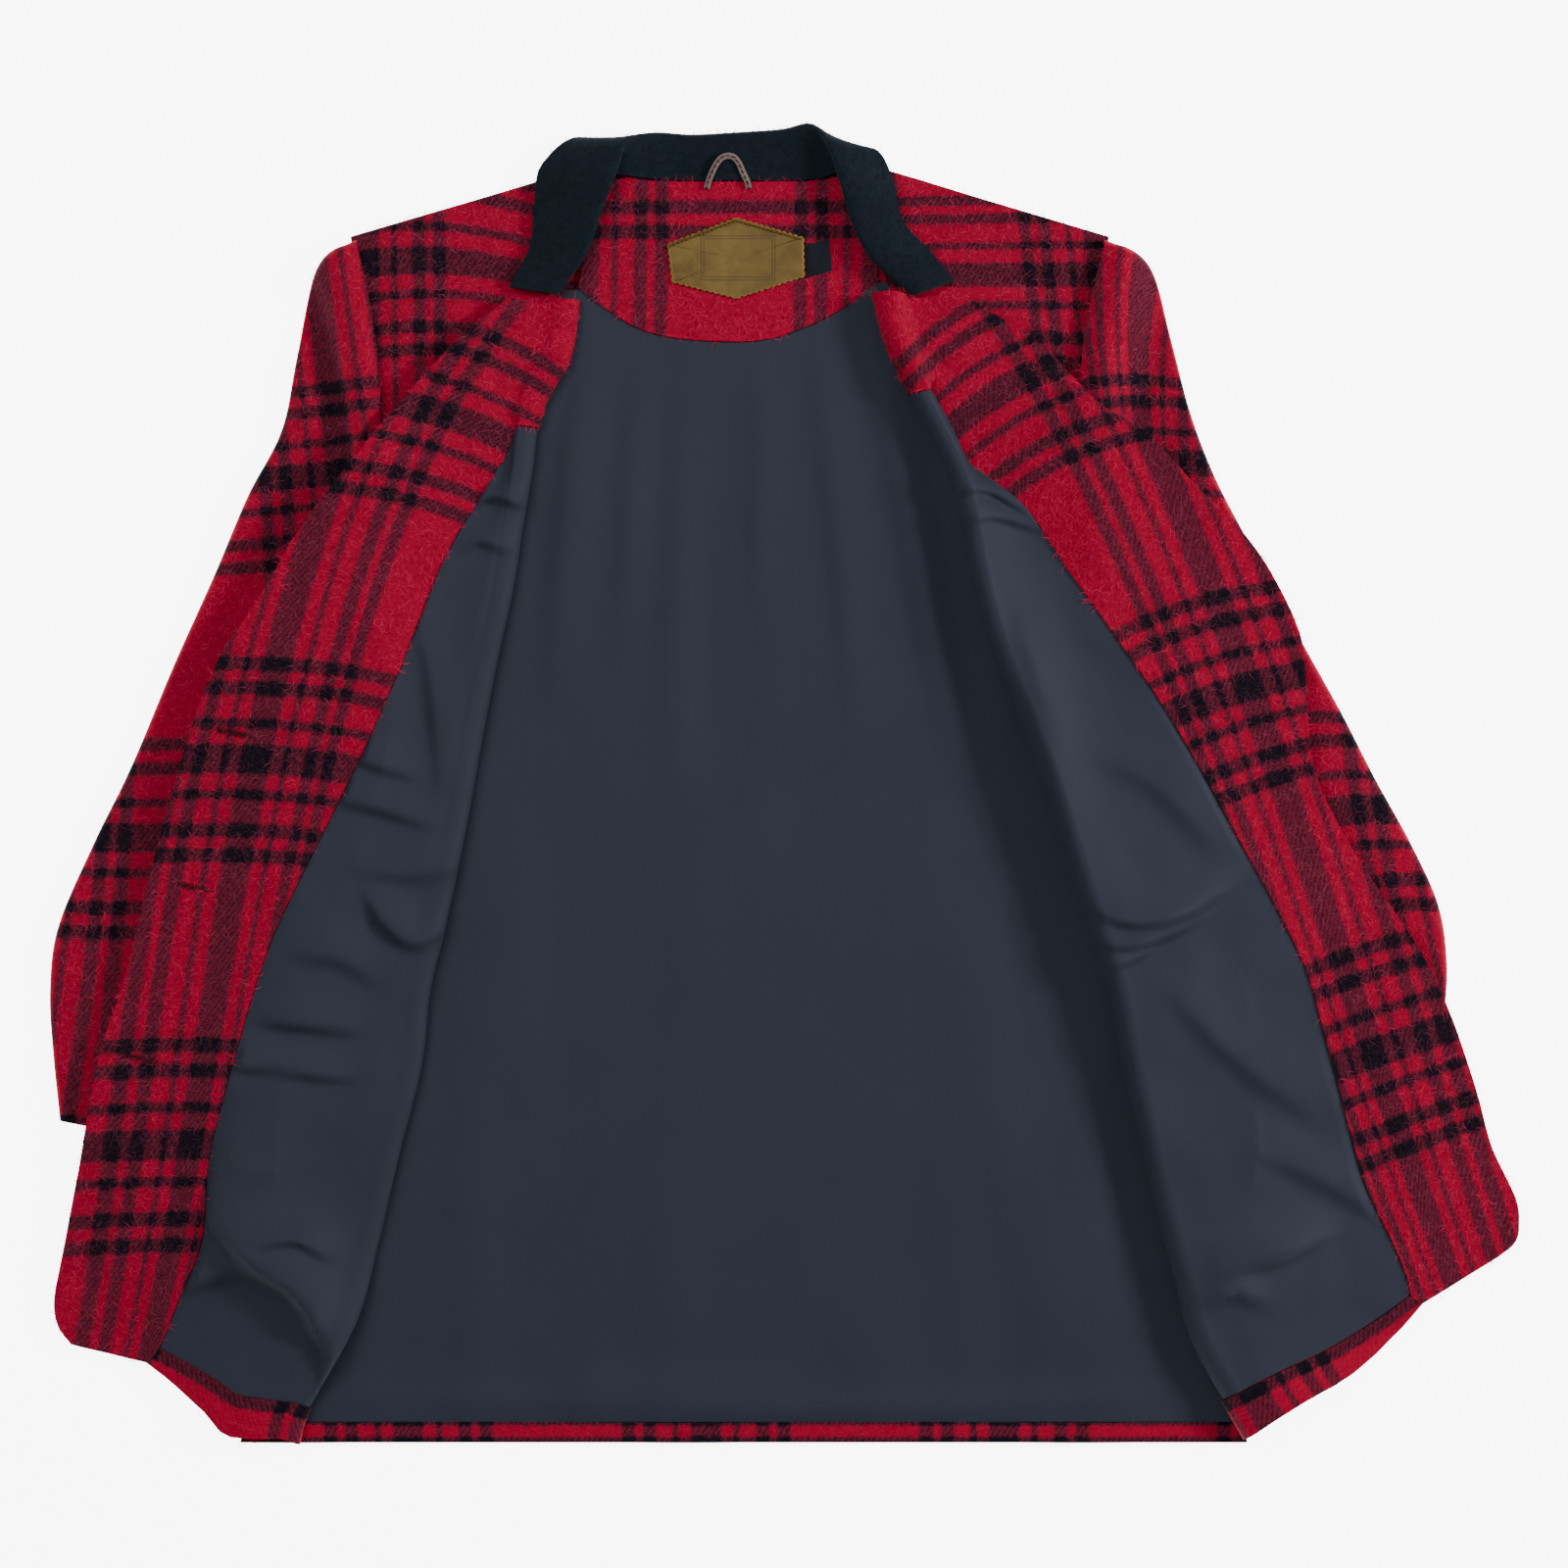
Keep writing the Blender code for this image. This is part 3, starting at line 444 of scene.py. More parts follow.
# %% [markdown]
# ## Lining, felt, suede and the small finishes
#
# The lining is a fine satin. Its weave is too fine to see, but it breaks up the gloss, so two crossed sets
# of waves go into its bump. The collar is felt: no weave, only matted fibres. The patch is suede, mottled
# where the nap has been rubbed. Each reads Object coordinates or the cloth's own map, so nothing slides
# when the view moves.

# %% Lining, felt and suede materials
SATIN_THREADS = 700.0


def lining_material():
    made, tree, shader = start_material("charcoal satin")
    cloth = node(tree, "ShaderNodeUVMap", {"uv_map": CLOTH_UV}).outputs[0]
    broad = grained(tree, cloth, 14.0, 3.0, 0.55)
    colour = mix(tree, broad, linear(27, 30, 40), linear(33, 37, 48))
    fine = grained(tree, cloth, 2600.0, 1.0, 0.5)
    colour = mix(tree, math_node(tree, "MULTIPLY", fine, 0.4), colour, linear(44, 48, 57))
    tree.links.new(colour, shader.inputs["Base Color"])
    shader.inputs["Roughness"].default_value = 0.6
    shader.inputs["Specular IOR Level"].default_value = 0.08
    shader.inputs["Sheen Weight"].default_value = 0.02
    across, along = (
        node(
            tree, "ShaderNodeTexWave", {"bands_direction": axis}, Vector=cloth, Scale=SATIN_THREADS,
            Distortion=1.5,
        ).outputs["Fac"]
        for axis in "XY"
    )
    height = math_node(tree, "ADD", math_node(tree, "ADD", across, along), fine)
    bump(tree, shader, height, 0.25, 0.0002)
    return made


def felt_material(name):
    made, tree, shader = start_material(name)
    cloth = node(tree, "ShaderNodeAttribute", {"attribute_name": CLOTH_UV}).outputs["Vector"]
    fibres = with_group(tree, fibre_group, Cloth=cloth, Size=0.8)
    base = mix(tree, fibres["Patches"], linear(5, 11, 17), linear(12, 20, 29))
    streak = ramp_of(tree, fibres["Streaks"], [(0.52, 0.0), (0.8, 1.0)])
    colour = mix(tree, math_node(tree, "MULTIPLY", streak, 0.35), base, linear(34, 44, 50))
    tree.links.new(colour, shader.inputs["Base Color"])
    shader.inputs["Roughness"].default_value = 0.95
    shader.inputs["Sheen Weight"].default_value = 0.03
    shader.inputs["Sheen Roughness"].default_value = 0.6
    shader.inputs["Specular IOR Level"].default_value = 0.06
    bump(tree, shader, fibres["Streaks"], 0.5, 0.0006)
    return made


PRESSED_MIDDLE = (-27.5, 310.6)
PRESSED_HALF = (21.8, 13.0)
PRESSED_INSETS = (0.0, 1.6)
GROOVE_FLOOR = 0.2
GROOVE_RIM = 0.6


def suede_material():
    made, tree, shader = start_material("patch suede")
    place = node(tree, "ShaderNodeTexCoord").outputs["Object"]
    broad = grained(tree, place, 60.0, 4.0, 0.6)
    fine = grained(tree, place, 900.0, 3.0, 0.65)
    mottled = ramp_of(tree, broad, [(0.3, 0.0), (0.7, 1.0)])
    colour = mix(tree, mottled, linear(72, 54, 17), linear(104, 83, 34))
    colour = mix(tree, math_node(tree, "MULTIPLY", fine, 0.5), colour, linear(58, 42, 16))
    # A plain frame is pressed into the suede: two grooves, one inside the other.
    split = node(tree, "ShaderNodeSeparateXYZ", Vector=place).outputs
    sides = []
    for axis, middle, half in zip("XY", PRESSED_MIDDLE, PRESSED_HALF):
        away = math_node(tree, "ABSOLUTE", math_node(tree, "SUBTRACT", split[axis], middle * MM))
        sides.append(math_node(tree, "SUBTRACT", away, half * MM))
    outside = math_node(tree, "MAXIMUM", *sides)
    grooves = 0.0
    for inset in PRESSED_INSETS:
        from_line = math_node(tree, "ABSOLUTE", math_node(tree, "ADD", outside, inset * MM))
        line = node(
            tree, "ShaderNodeMapRange", {"interpolation_type": "SMOOTHSTEP"}, Value=from_line,
            From_Min=GROOVE_FLOOR * MM, From_Max=GROOVE_RIM * MM, To_Min=1.0, To_Max=0.0,
        ).outputs["Result"]
        grooves = math_node(tree, "ADD", line, grooves)
    colour = mix(tree, math_node(tree, "MULTIPLY", grooves, 0.3), colour, linear(60, 42, 14))
    tree.links.new(colour, shader.inputs["Base Color"])
    shader.inputs["Roughness"].default_value = 0.85
    shader.inputs["Specular IOR Level"].default_value = 0.25
    shader.inputs["Sheen Weight"].default_value = 0.2
    grain = math_node(tree, "ADD", broad, fine)
    height = math_node(tree, "SUBTRACT", grain, math_node(tree, "MULTIPLY", grooves, 3.0))
    bump(tree, shader, height, 0.6, 0.0004)
    return made


def woven_material(name, dark, light, threads):
    """Tape, tab and thread: a close plain weave between two colours."""
    made, tree, shader = start_material(name)
    place = node(tree, "ShaderNodeTexCoord").outputs["Object"]
    rows = node(
        tree, "ShaderNodeTexWave", {"bands_direction": "DIAGONAL"}, Vector=place, Scale=threads,
    ).outputs["Fac"]
    speck = grained(tree, place, threads * 2, 2.0, 0.6)
    blend = math_node(tree, "MULTIPLY", rows, speck)
    tree.links.new(mix(tree, blend, linear(*dark), linear(*light)), shader.inputs["Base Color"])
    shader.inputs["Roughness"].default_value = 0.85
    shader.inputs["Specular IOR Level"].default_value = 0.1
    bump(tree, shader, rows, 0.4, 0.0002)
    return made


def horn_material():
    made, tree, shader = start_material("button horn")
    place = node(tree, "ShaderNodeTexCoord").outputs["Object"]
    streak = node(
        tree, "ShaderNodeTexWave", Vector=place, Scale=60.0, Distortion=6.0, Detail=3.0,
    ).outputs["Fac"]
    tree.links.new(mix(tree, streak, linear(34, 24, 20), linear(78, 56, 42)), shader.inputs["Base Color"])
    rough = math_node(tree, "MULTIPLY_ADD", streak, 0.15, 0.25)
    tree.links.new(rough, shader.inputs["Roughness"])
    return made


satin = lining_material()
felt = felt_material("collar felt")
felt_fibre = felt_material("collar felt fibres")
suede = suede_material()
suede_edge = woven_material("suede cut edge", (96, 72, 28), (140, 112, 58), 1500.0)
tape = woven_material("hanger tape", (70, 56, 52), (138, 122, 116), 900.0)
tab_cloth = woven_material("tab cloth", (8, 10, 15), (30, 36, 45), 1400.0)
# Near black partly for painted shade: the buttonholes' middle rows, which stand for the dark opening, use
# this thread.
dark_thread = woven_material("dark thread", (10, 6, 8), (44, 16, 20), 1800.0)
tan_thread = woven_material("tan thread", (62, 46, 16), (112, 86, 40), 1800.0)
horn = horn_material()
print("materials:", len(bpy.data.materials))

# %% [markdown]
# ## The shape of the pieces, as tables
#
# Where a piece's edges lie can't be worked out, because the garment was put down by hand. So they are
# measured, and kept as short tables with a row for each section. Smooth curves through the rows give the
# fine mesh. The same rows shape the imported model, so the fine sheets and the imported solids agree.

# %% Tables of the garment
def table(columns, rows):
    """Rows of numbers as a dictionary from each column's name to its values."""
    values = np.array(rows, float)
    return {name: values[:, i] for i, name in enumerate(columns.split())}


# The top of each front, above the place where the collar ends.
SHOULDER_COLUMNS = "side_x side_y neck_x neck_y"
LEFT_SHOULDER = table(SHOULDER_COLUMNS, [(-256, 323, -116, 365), (-249, 290, -121, 325)])
RIGHT_SHOULDER = table(SHOULDER_COLUMNS, [(192, 323, 57, 364), (184, 290, 52, 328)])

# A row for each section of a front, from the lapel's top to the hem. side is the armhole or side seam of
# the layer that lies face up, fold is the roll where it turns back, seam is where the lining meets the
# facing, edge is the garment's front edge.
FRONT_COLUMNS = "side_x side_y fold_x fold_y seam_x seam_y edge_x edge_y"
LEFT_FRONT = table(FRONT_COLUMNS, [
    (-245, 261, -124, 286, -142, 283, -163, 286),
    (-244, 232, -129, 253, -148, 254, -191, 263),
    (-245, 203, -145, 222, -164, 223, -220, 231),
    (-249, 171, -151, 183, -170, 186, -252, 193),
    (-257, 139, -157, 148, -194, 146, -285, 150),
    (-280, 104, -162, 116, -209, 114, -306, 114),
    (-304, 64, -172, 70, -226, 70, -335, 69),
    (-305, 23, -181, 23, -246, 23, -351, 25),
    (-307, -32, -191, -32, -273, -32, -367, -29),
    (-309, -84, -202, -84, -298, -84, -382, -90),
    (-311, -122, -211, -122, -312, -122, -391, -123),
    (-313, -165, -216, -165, -324, -164, -404, -162),
    (-314, -217, -229, -217, -338, -219, -415, -220),
    (-316, -268, -241, -268, -343, -268, -424, -268),
    (-318, -316, -254, -316, -357, -304, -431, -303),
    (-320, -374, -283, -369, -369, -334, -429, -320),
    (-321, -389, -289, -389, -376, -342, -421, -331),
])
RIGHT_FRONT = table(FRONT_COLUMNS, [
    (180, 261, 55, 290, 74, 286, 103, 290),
    (178, 232, 60, 269, 80, 269, 130, 273),
    (179, 217, 68, 247, 88, 248, 155, 256),
    (180, 203, 80, 222, 100, 223, 184, 225),
    (187, 171, 96, 189, 108, 192, 215, 205),
    (195, 139, 105, 158, 143, 163, 241, 177),
    (209, 116, 112, 122, 170, 123, 271, 147),
    (226, 93, 122, 84, 195, 87, 291, 117),
    (247, 64, 137, 46, 220, 51, 305, 84),
    (251, 6, 152, 6, 241, 16, 308, 44),
    (253, -36, 166, -36, 263, -24, 314, 3),
    (255, -80, 180, -80, 289, -72, 336, -40),
    (258, -124, 194, -124, 308, -111, 374, -97),
    (260, -162, 201, -162, 320, -154, 394, -139),
    (263, -204, 211, -204, 331, -194, 408, -180),
    (266, -246, 221, -246, 342, -234, 418, -215),
    (269, -290, 232, -290, 358, -268, 432, -244),
    (270, -327, 242, -327, 368, -292, 434, -259),
    (272, -370, 262, -364, 370, -302, 432, -270),
    (274, -386, 274, -385, 377, -307, 422, -279),
])

# A row for each section of a sleeve, from the armhole to the cuff: its outer and inner edge, and its bow.
SLEEVE_COLUMNS = "outer_x outer_y inner_x inner_y bow"
LEFT_SLEEVE = table(SLEEVE_COLUMNS, [
    (-259, 321, -250, 142, 9),
    (-277, 302, -251, 128, 5),
    (-288, 252, -250, 112, 2),
    (-297, 209, -248, 95, 0),
    (-317, 170, -243, 74, 0),
    (-337, 123, -237, 42, 0),
    (-360, 72, -244, 2, 0),
    (-386, 10, -257, -43, 0),
    (-408, -35, -276, -87, 0),
    (-429, -84, -290, -128, 0),
    (-434, -122, -299, -165, 0),
    (-432, -160, -303, -191, 0),
    (-428, -199, -304, -223, 0),
])
RIGHT_SLEEVE = table(SLEEVE_COLUMNS, [
    (196, 321, 187, 144, 10),
    (217, 304, 190, 131, 6),
    (229, 262, 192, 116, 2),
    (240, 220, 191, 101, 0),
    (254, 183, 187, 85, 0),
    (273, 146, 182, 58, 0),
    (299, 97, 186, 19, 0),
    (328, 45, 204, -21, 0),
    (349, 4, 223, -61, 0),
    (371, -36, 245, -96, 0),
    (387, -72, 258, -126, 0),
    (392, -107, 264, -154, 0),
    (390, -139, 266, -177, 0),
    (385, -174, 266, -203, 0),
    (378, -203, 264, -226, 0),
])

# A row for each section of the collar, from its left end round the back of the neck: where it is sewn, the
# top of its roll, and the free edge of its leaf. turn is how far the roll heaps up or down.
COLLAR = table("seam_x seam_y seam_z roll_x roll_y roll_z leaf_x leaf_y leaf_z turn", [
    (-140, 291, 9.0, -134, 289, 12.5, -162, 293, 9.4, 7),
    (-127, 315, 9.2, -117, 314, 14.0, -150, 317, 9.6, 8),
    (-118, 343, 9.2, -107, 342, 15.0, -147, 345, 9.6, 8),
    (-110, 358, 9.2, -99, 362, 15.5, -143, 365, 9.6, 8),
    (-98, 360, 8.0, -93, 379, 13.5, -122, 381, 7.5, 4),
    (-80, 358, 4.6, -77, 384, 5.4, -91, 367, 2.6, -2),
    (-56, 357, 4.4, -55, 383, 4.0, -55, 362, 1.4, -3),
    (-30, 357, 4.4, -30, 384, 4.0, -30, 362, 1.4, -3),
    (-3, 357, 4.4, -2, 386, 4.0, -2, 362, 1.4, -3),
    (20, 358, 4.6, 16, 389, 5.4, 30, 370, 2.6, -2),
    (34, 361, 8.0, 26, 378, 13.5, 54, 374, 7.5, 4),
    (42, 350, 9.2, 34, 354, 15.5, 64, 356, 9.6, 8),
    (51, 331, 9.2, 41, 331, 15.0, 70, 332, 9.6, 8),
    (63, 311, 9.2, 53, 309, 14.0, 87, 313, 9.6, 8),
    (81, 293, 9.0, 77, 288, 12.5, 100, 297, 9.4, 7),
])

POINT = "x y"
SHOULDER_LINE = table(POINT, [
    (-256, 323), (-186, 344), (-116, 365), (-96, 364), (-62, 360), (-30, 359), (5, 360), (36, 365), (57, 364),
    (124, 344), (192, 323),
])
FACING_TOP = table(POINT, [
    (-113, 345), (-98, 357.5), (-80, 356.6), (-56, 356), (-30, 356), (-3, 356), (20, 356.6), (35, 358),
    (47, 343),
])
FACING_BOTTOM = table(POINT, [
    (-121, 293), (-105, 281), (-85, 269), (-58, 263), (-17, 262), (12, 270), (36, 282), (56, 297),
])
HEM_Y = -389.5
LINING_END_Y = -377.0
print("sections:", len(LEFT_FRONT["edge_x"]), "and", len(RIGHT_FRONT["edge_x"]), "in the fronts")

# %% [markdown]
# ## Cloth thicknesses and curves
#
# Two small functions carry most of the shaping. `through` draws a smooth curve through a table's rows, and
# `rows_at` reads a column of a table between its rows, so that four edges of one piece stay in step.

# %% Thicknesses and curve helpers
WOOL = 2.2
LINING = 1.0
COLLAR_CLOTH = 2.4
SEAM_GAP = 0.3
SLOPE_ALLOWANCE = 1.3


def rows_at(values, at):
    """Values between a table's rows, on a smooth curve. at counts rows, and may hold fractions."""
    values = np.asarray(values, float)
    padded = np.concatenate([[2 * values[0] - values[1]], values, [2 * values[-1] - values[-2]]])
    index = np.clip(np.floor(at).astype(int), 0, len(values) - 2)
    t = (at - index).reshape(-1, *[1] * (values.ndim - 1))
    before, start, end, after = (padded[index + i] for i in range(4))
    return 0.5 * (
        2 * start + (end - before) * t + (2 * before - 5 * start + 4 * end - after) * t ** 2
        + (3 * start - before - 3 * end + after) * t ** 3
    )


def pair(source, name):
    return np.stack([source[name + "_x"], source[name + "_y"]], axis=-1)


def run_along(line):
    """How far along a line each of its points is."""
    return np.concatenate([[0], np.cumsum(np.linalg.norm(np.diff(line, axis=0), axis=1))])


def even_rows(line, spacing):
    """Fractional rows at which a line through the rows has points evenly spaced."""
    fine = np.linspace(0, len(line) - 1, 40 * len(line))
    run = run_along(rows_at(line, fine))
    return np.interp(np.linspace(0, run[-1], int(run[-1] / spacing) + 1), run, fine)


def through(points, count):
    """count points evenly spaced along a smooth curve through the given ones."""
    if isinstance(points, dict):
        points = np.stack([points["x"], points["y"]], axis=-1)
    line = np.asarray(points, float)
    fine = np.linspace(0, len(line) - 1, 60 * len(line))
    run = run_along(rows_at(line, fine))
    return rows_at(line, np.interp(np.linspace(0, run[-1], count), run, fine))


def between(first, last, at):
    """Lines of points from the line first to the line last, at the given shares of the way."""
    share = np.asarray(at, float).reshape(1, -1, 1)
    return first[:, None] * (1 - share) + last[:, None] * share


def unit(vectors):
    return vectors / np.maximum(np.linalg.norm(vectors, axis=-1, keepdims=True), 1e-9)


def smooth_step(values):
    held = np.clip(values, 0, 1)
    return held * held * (3 - 2 * held)


print("walls in mm: wool", WOOL, "lining", LINING, "felt", COLLAR_CLOTH)

# %% [markdown]
# ## A height map to lay cloth on
#
# Each sheet must lie on whatever is already there, with no two of them crossing. A height map makes this
# simple: it is a square grid of heights over the floor. Laying a piece reads the map under the piece, and
# then raises the map to the piece's own top. Cloth is stiff enough to bridge small steps, so the heights
# are relaxed: a point rises to the mean of its neighbours, never below what it lies on.

# %% Height map
CELL = 2.0
MAP_HALF = 480.0
SAMPLES = 5


class Bed:
    """A height map of everything laid so far."""

    def __init__(self):
        side = int(2 * MAP_HALF / CELL)
        self.height = np.zeros((side, side))

    def cells(self, x, y):
        last = len(self.height) - 1
        column = np.clip(((x + MAP_HALF) / CELL).astype(int), 0, last)
        row = np.clip(((y + MAP_HALF) / CELL).astype(int), 0, last)
        return column, row

    def add(self, grid, top):
        """Raises the map to a laid surface whose middle is grid and whose upper side is top above that."""
        x, y, z = spread(grid)
        np.maximum.at(self.height, self.cells(x, y), z + top)

    def widened(self):
        """The map with each cell as high as its highest neighbour."""
        wide = self.height.copy()
        for shift_x in (-1, 0, 1):
            for shift_y in (-1, 0, 1):
                wide = np.maximum(wide, np.roll(self.height, (shift_x, shift_y), axis=(0, 1)))
        return wide

    def under(self, x, y):
        """For each point of a grid, the highest thing under any of the quads that it is a corner of."""
        sample_x, sample_y, _ = spread(np.stack([x, y, np.zeros_like(x)], axis=-1))
        found = self.widened()[self.cells(sample_x, sample_y)]
        rows, columns = x.shape
        highest = found.reshape(-1, (rows - 1) * (columns - 1)).max(axis=0).reshape(rows - 1, columns - 1)
        height = np.zeros_like(x)
        for row in (0, 1):
            for column in (0, 1):
                corner = height[row:rows - 1 + row, column:columns - 1 + column]
                np.maximum(corner, highest, out=corner)
        return height


def spread(grid):
    """Points spread evenly over every quad of a grid, as x, y and z."""
    step = np.linspace(0, 1, SAMPLES)
    across, down = (a.reshape(-1, 1, 1, 1) for a in np.meshgrid(step, step))
    points = (
        grid[:-1, :-1] * (1 - across) * (1 - down)
        + grid[:-1, 1:] * across * (1 - down)
        + grid[1:, :-1] * (1 - across) * down
        + grid[1:, 1:] * across * down
    )
    return points.reshape(-1, 3).T


def neighbour_mean(height, plan, axis):
    """At each inner point of a grid, the height of the straight line between its neighbours on an axis."""
    height, plan = np.moveaxis(height, axis, 0), np.moveaxis(plan, axis, 0)
    gap = np.maximum(np.linalg.norm(np.diff(plan, axis=0), axis=-1), 0.05)
    mean = height.copy()
    mean[1:-1] = (height[:-2] * gap[1:] + height[2:] * gap[:-1]) / (gap[1:] + gap[:-1])
    mean[0], mean[-1] = height[1], height[-2]
    return np.moveaxis(mean, 0, axis)


def relax(height, passes, sag, plan, held=None):
    """Lets cloth bridge what it lies on: each point rises towards its neighbours' mean, less a little sag."""
    floor_height = height.copy()
    for _ in range(passes):
        mean = (neighbour_mean(height, plan, 0) + neighbour_mean(height, plan, 1)) / 2
        height = np.maximum(floor_height, mean - sag)
        if held is not None:
            height[held] = floor_height[held]
    return height


print("map of", 2 * MAP_HALF, "mm in cells of", CELL, "mm")

# %% [markdown]
# ## Folds
#
# A crease in cloth is rarely the same on both sides: it rises gently and falls sharply, like a wave. So a
# fold here is a line across the cloth with a height and two widths, the gentle one on the line's left and
# the sharp one on its right. A negative height makes a hollow. A little noise keeps the ground between
# folds from being flat.

# %% Folds and ripples
def fold_heights(folds, x, y):
    """The sum of the folds' heights at each point. A fold is (height, gentle width, sharp width, line)."""
    total = np.zeros_like(x)
    for height, gentle, sharp, line in folds:
        points = through(line, max(3, 10 * len(line)))
        shape = np.zeros_like(x)
        for i in range(len(points) - 1):
            start, run = points[i], points[i + 1] - points[i]
            along = np.clip(((x - start[0]) * run[0] + (y - start[1]) * run[1]) / (run @ run), 0, 1)
            dx, dy = x - start[0] - along * run[0], y - start[1] - along * run[1]
            away = np.hypot(dx, dy)
            lean = (run[0] * dy - run[1] * dx) / np.maximum(away * np.hypot(*run), 1e-6)
            width = sharp + (gentle - sharp) * (0.5 + 0.5 * lean)
            share = (i + along) / (len(points) - 1)
            taper = np.sin(np.pi * np.clip(share, 0.001, 0.999)) ** 0.8
            shape = np.maximum(shape, taper * np.exp(-((away / width) ** 2)))
        total += height * shape
    return total


def ripples(x, y, size, amount, seed, stretch=(1.0, 1.0)):
    """Smooth noise of a size in millimetres, from -amount to amount."""
    values = np.empty(x.size)
    for i, (px, py) in enumerate(zip(x.ravel() / size * stretch[0], y.ravel() / size * stretch[1])):
        values[i] = noise.noise(Vector((px, py, seed)))
    return amount * 2 * values.reshape(x.shape)


trial = fold_heights([(10, 20, 10, [(-50, 0), (50, 0)])], np.zeros(1), np.zeros(1))
print("height in mm at the middle of a 10 mm fold:", trial)

# %% [markdown]
# ## Where the check lies on each piece
#
# The photograph shows where the stripes cross on every piece. A few such crossings pin the cloth down: each
# pin says that this place on the floor shows that point of the cloth. A smooth polynomial through a piece's
# pins then gives the cloth's own coordinates for all its points. The pins use the stripes' own positions in
# the repeat, so a pin on the middle of a wide stripe is 0.

# %% Pins
PIN_SCALE = 100.0


def powers(x, y, degree):
    x, y = np.asarray(x, float) / PIN_SCALE, np.asarray(y, float) / PIN_SCALE
    return np.stack([x ** i * y ** j for i in range(degree + 1) for j in range(degree + 1 - i)], axis=-1)


def pinned(pins, across_degree, along_degree):
    """A function from a place to a point of the cloth, both in millimetres, fitted to pins of (x, y, u, v).

    A pin on a stripe between crossings knows only its u, and one on a cross band only its v.
    """
    pins = np.array(pins, float)
    fits = []
    for column, degree in ((2, across_degree), (3, along_degree)):
        known = pins[~np.isnan(pins[:, column])]
        terms = powers(known[:, 0], known[:, 1], degree)
        fit, *_ = np.linalg.lstsq(terms, known[:, column], rcond=None)
        missed = np.abs(terms @ fit - known[:, column])
        print(f"  {len(known)} pins, off by {missed.mean():.1f} mm on average and {missed.max():.1f} at most")
        fits.append((fit, degree))
    return lambda x, y: np.stack([powers(x, y, degree) @ fit for fit, degree in fits], axis=-1)


# %% [markdown]
# ## From a grid to a sheet
#
# Every sheet starts as a grid of points, its middle surface. `make_sheet` turns the grid into a mesh with
# the cloth's coordinates as a UV map, and a Solidify modifier gives it the cloth's thickness. The modifier
# is applied at once, so that a finished piece is plain mesh.

# %% Sheet helpers
SHARP_ANGLE = math.radians(50)


def linked(name, mesh):
    """A new object that shows a mesh."""
    made = bpy.data.objects.new(name, mesh)
    bpy.context.scene.collection.objects.link(made)
    return made


def new_object(name, points, faces, finish=None, cloth=None, ends=()):
    """A piece from points in millimetres, with the cloth's coordinates at them where they are known."""
    mesh = bpy.data.meshes.new(name)
    mesh.from_pydata([tuple(point * MM) for point in points], ends, faces)
    if cloth is not None:
        layer = mesh.uv_layers.new(name=CLOTH_UV)
        corners = np.empty(len(mesh.loops), int)
        mesh.loops.foreach_get("vertex_index", corners)
        layer.data.foreach_set("uv", (cloth[corners] * MM).astype(np.float32).ravel())
    if finish:
        mesh.materials.append(finish)
    return linked(name, mesh)


def plain_mesh(piece):
    """Applies the piece's modifiers, and makes its faces smooth."""
    graph = bpy.context.evaluated_depsgraph_get()
    mesh = bpy.data.meshes.new_from_object(
        piece.evaluated_get(graph), preserve_all_data_layers=True, depsgraph=graph,
    )
    piece.modifiers.clear()
    piece.data = mesh
    mesh.shade_smooth()
    return piece


def applied(piece):
    """The piece as a plain mesh whose sharp edges stay sharp."""
    plain_mesh(piece).data.set_sharp_from_angle(angle=SHARP_ANGLE)
    return piece


def grid_quads(rows, columns):
    """The corners of every quad of a grid, as indices of its points."""
    index = np.arange(rows * columns).reshape(rows, columns)
    return np.stack([index[:-1, :-1], index[1:, :-1], index[1:, 1:], index[:-1, 1:]], axis=-1)


def wall(piece, thickness, offset=0.0):
    modifier = piece.modifiers.new("cloth", "SOLIDIFY")
    modifier.thickness = thickness * MM
    modifier.offset = offset
    modifier.use_quality_normals = True
    return applied(piece)


def make_sheet(name, grid, thickness, finish, cloth, kept=None):
    """A cloth wall on a grid. cloth gives the cloth's coordinates at the grid's points."""
    quads = grid_quads(*grid.shape[:2])
    quads = quads[kept] if kept is not None else quads.reshape(-1, 4)
    used, faces = np.unique(quads, return_inverse=True)
    faces = faces.reshape(-1, 4)
    points = grid.reshape(-1, 3)[used]
    piece = new_object(name, points, faces.tolist(), finish, cloth.reshape(-1, 2)[used])
    piece = wall(piece, thickness)
    piece["middle_area"] = float(quad_areas(grid.reshape(-1, 3)[quads]).sum()) * MM * MM
    return piece


def quad_areas(corners):
    return np.linalg.norm(np.cross(corners[:, 2] - corners[:, 0], corners[:, 3] - corners[:, 1]), axis=-1) / 2


def grid_normals(grid):
    """At each point of a grid, the mean direction that its quads face, up where the grid lies on top."""
    facing = unit(np.cross(grid[1:, 1:] - grid[:-1, :-1], grid[1:, :-1] - grid[:-1, 1:]))
    padded = np.pad(facing, ((1, 1), (1, 1), (0, 0)))
    found = unit(padded[:-1, :-1] + padded[:-1, 1:] + padded[1:, :-1] + padded[1:, 1:])
    return found * np.sign(found[..., 2].sum())


def place(piece, node_name, slot, width, length, held, rests_on, area):
    """Attaches a finished sheet to the root and hides the node that it stands for; its finish and the size
    that it was cut to are not used.
    """
    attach(piece, "root")
    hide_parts(node_name)
    print(f"{piece.name}: {len(piece.data.polygons)} faces, {piece.get('middle_area', 0):.4f} m2")


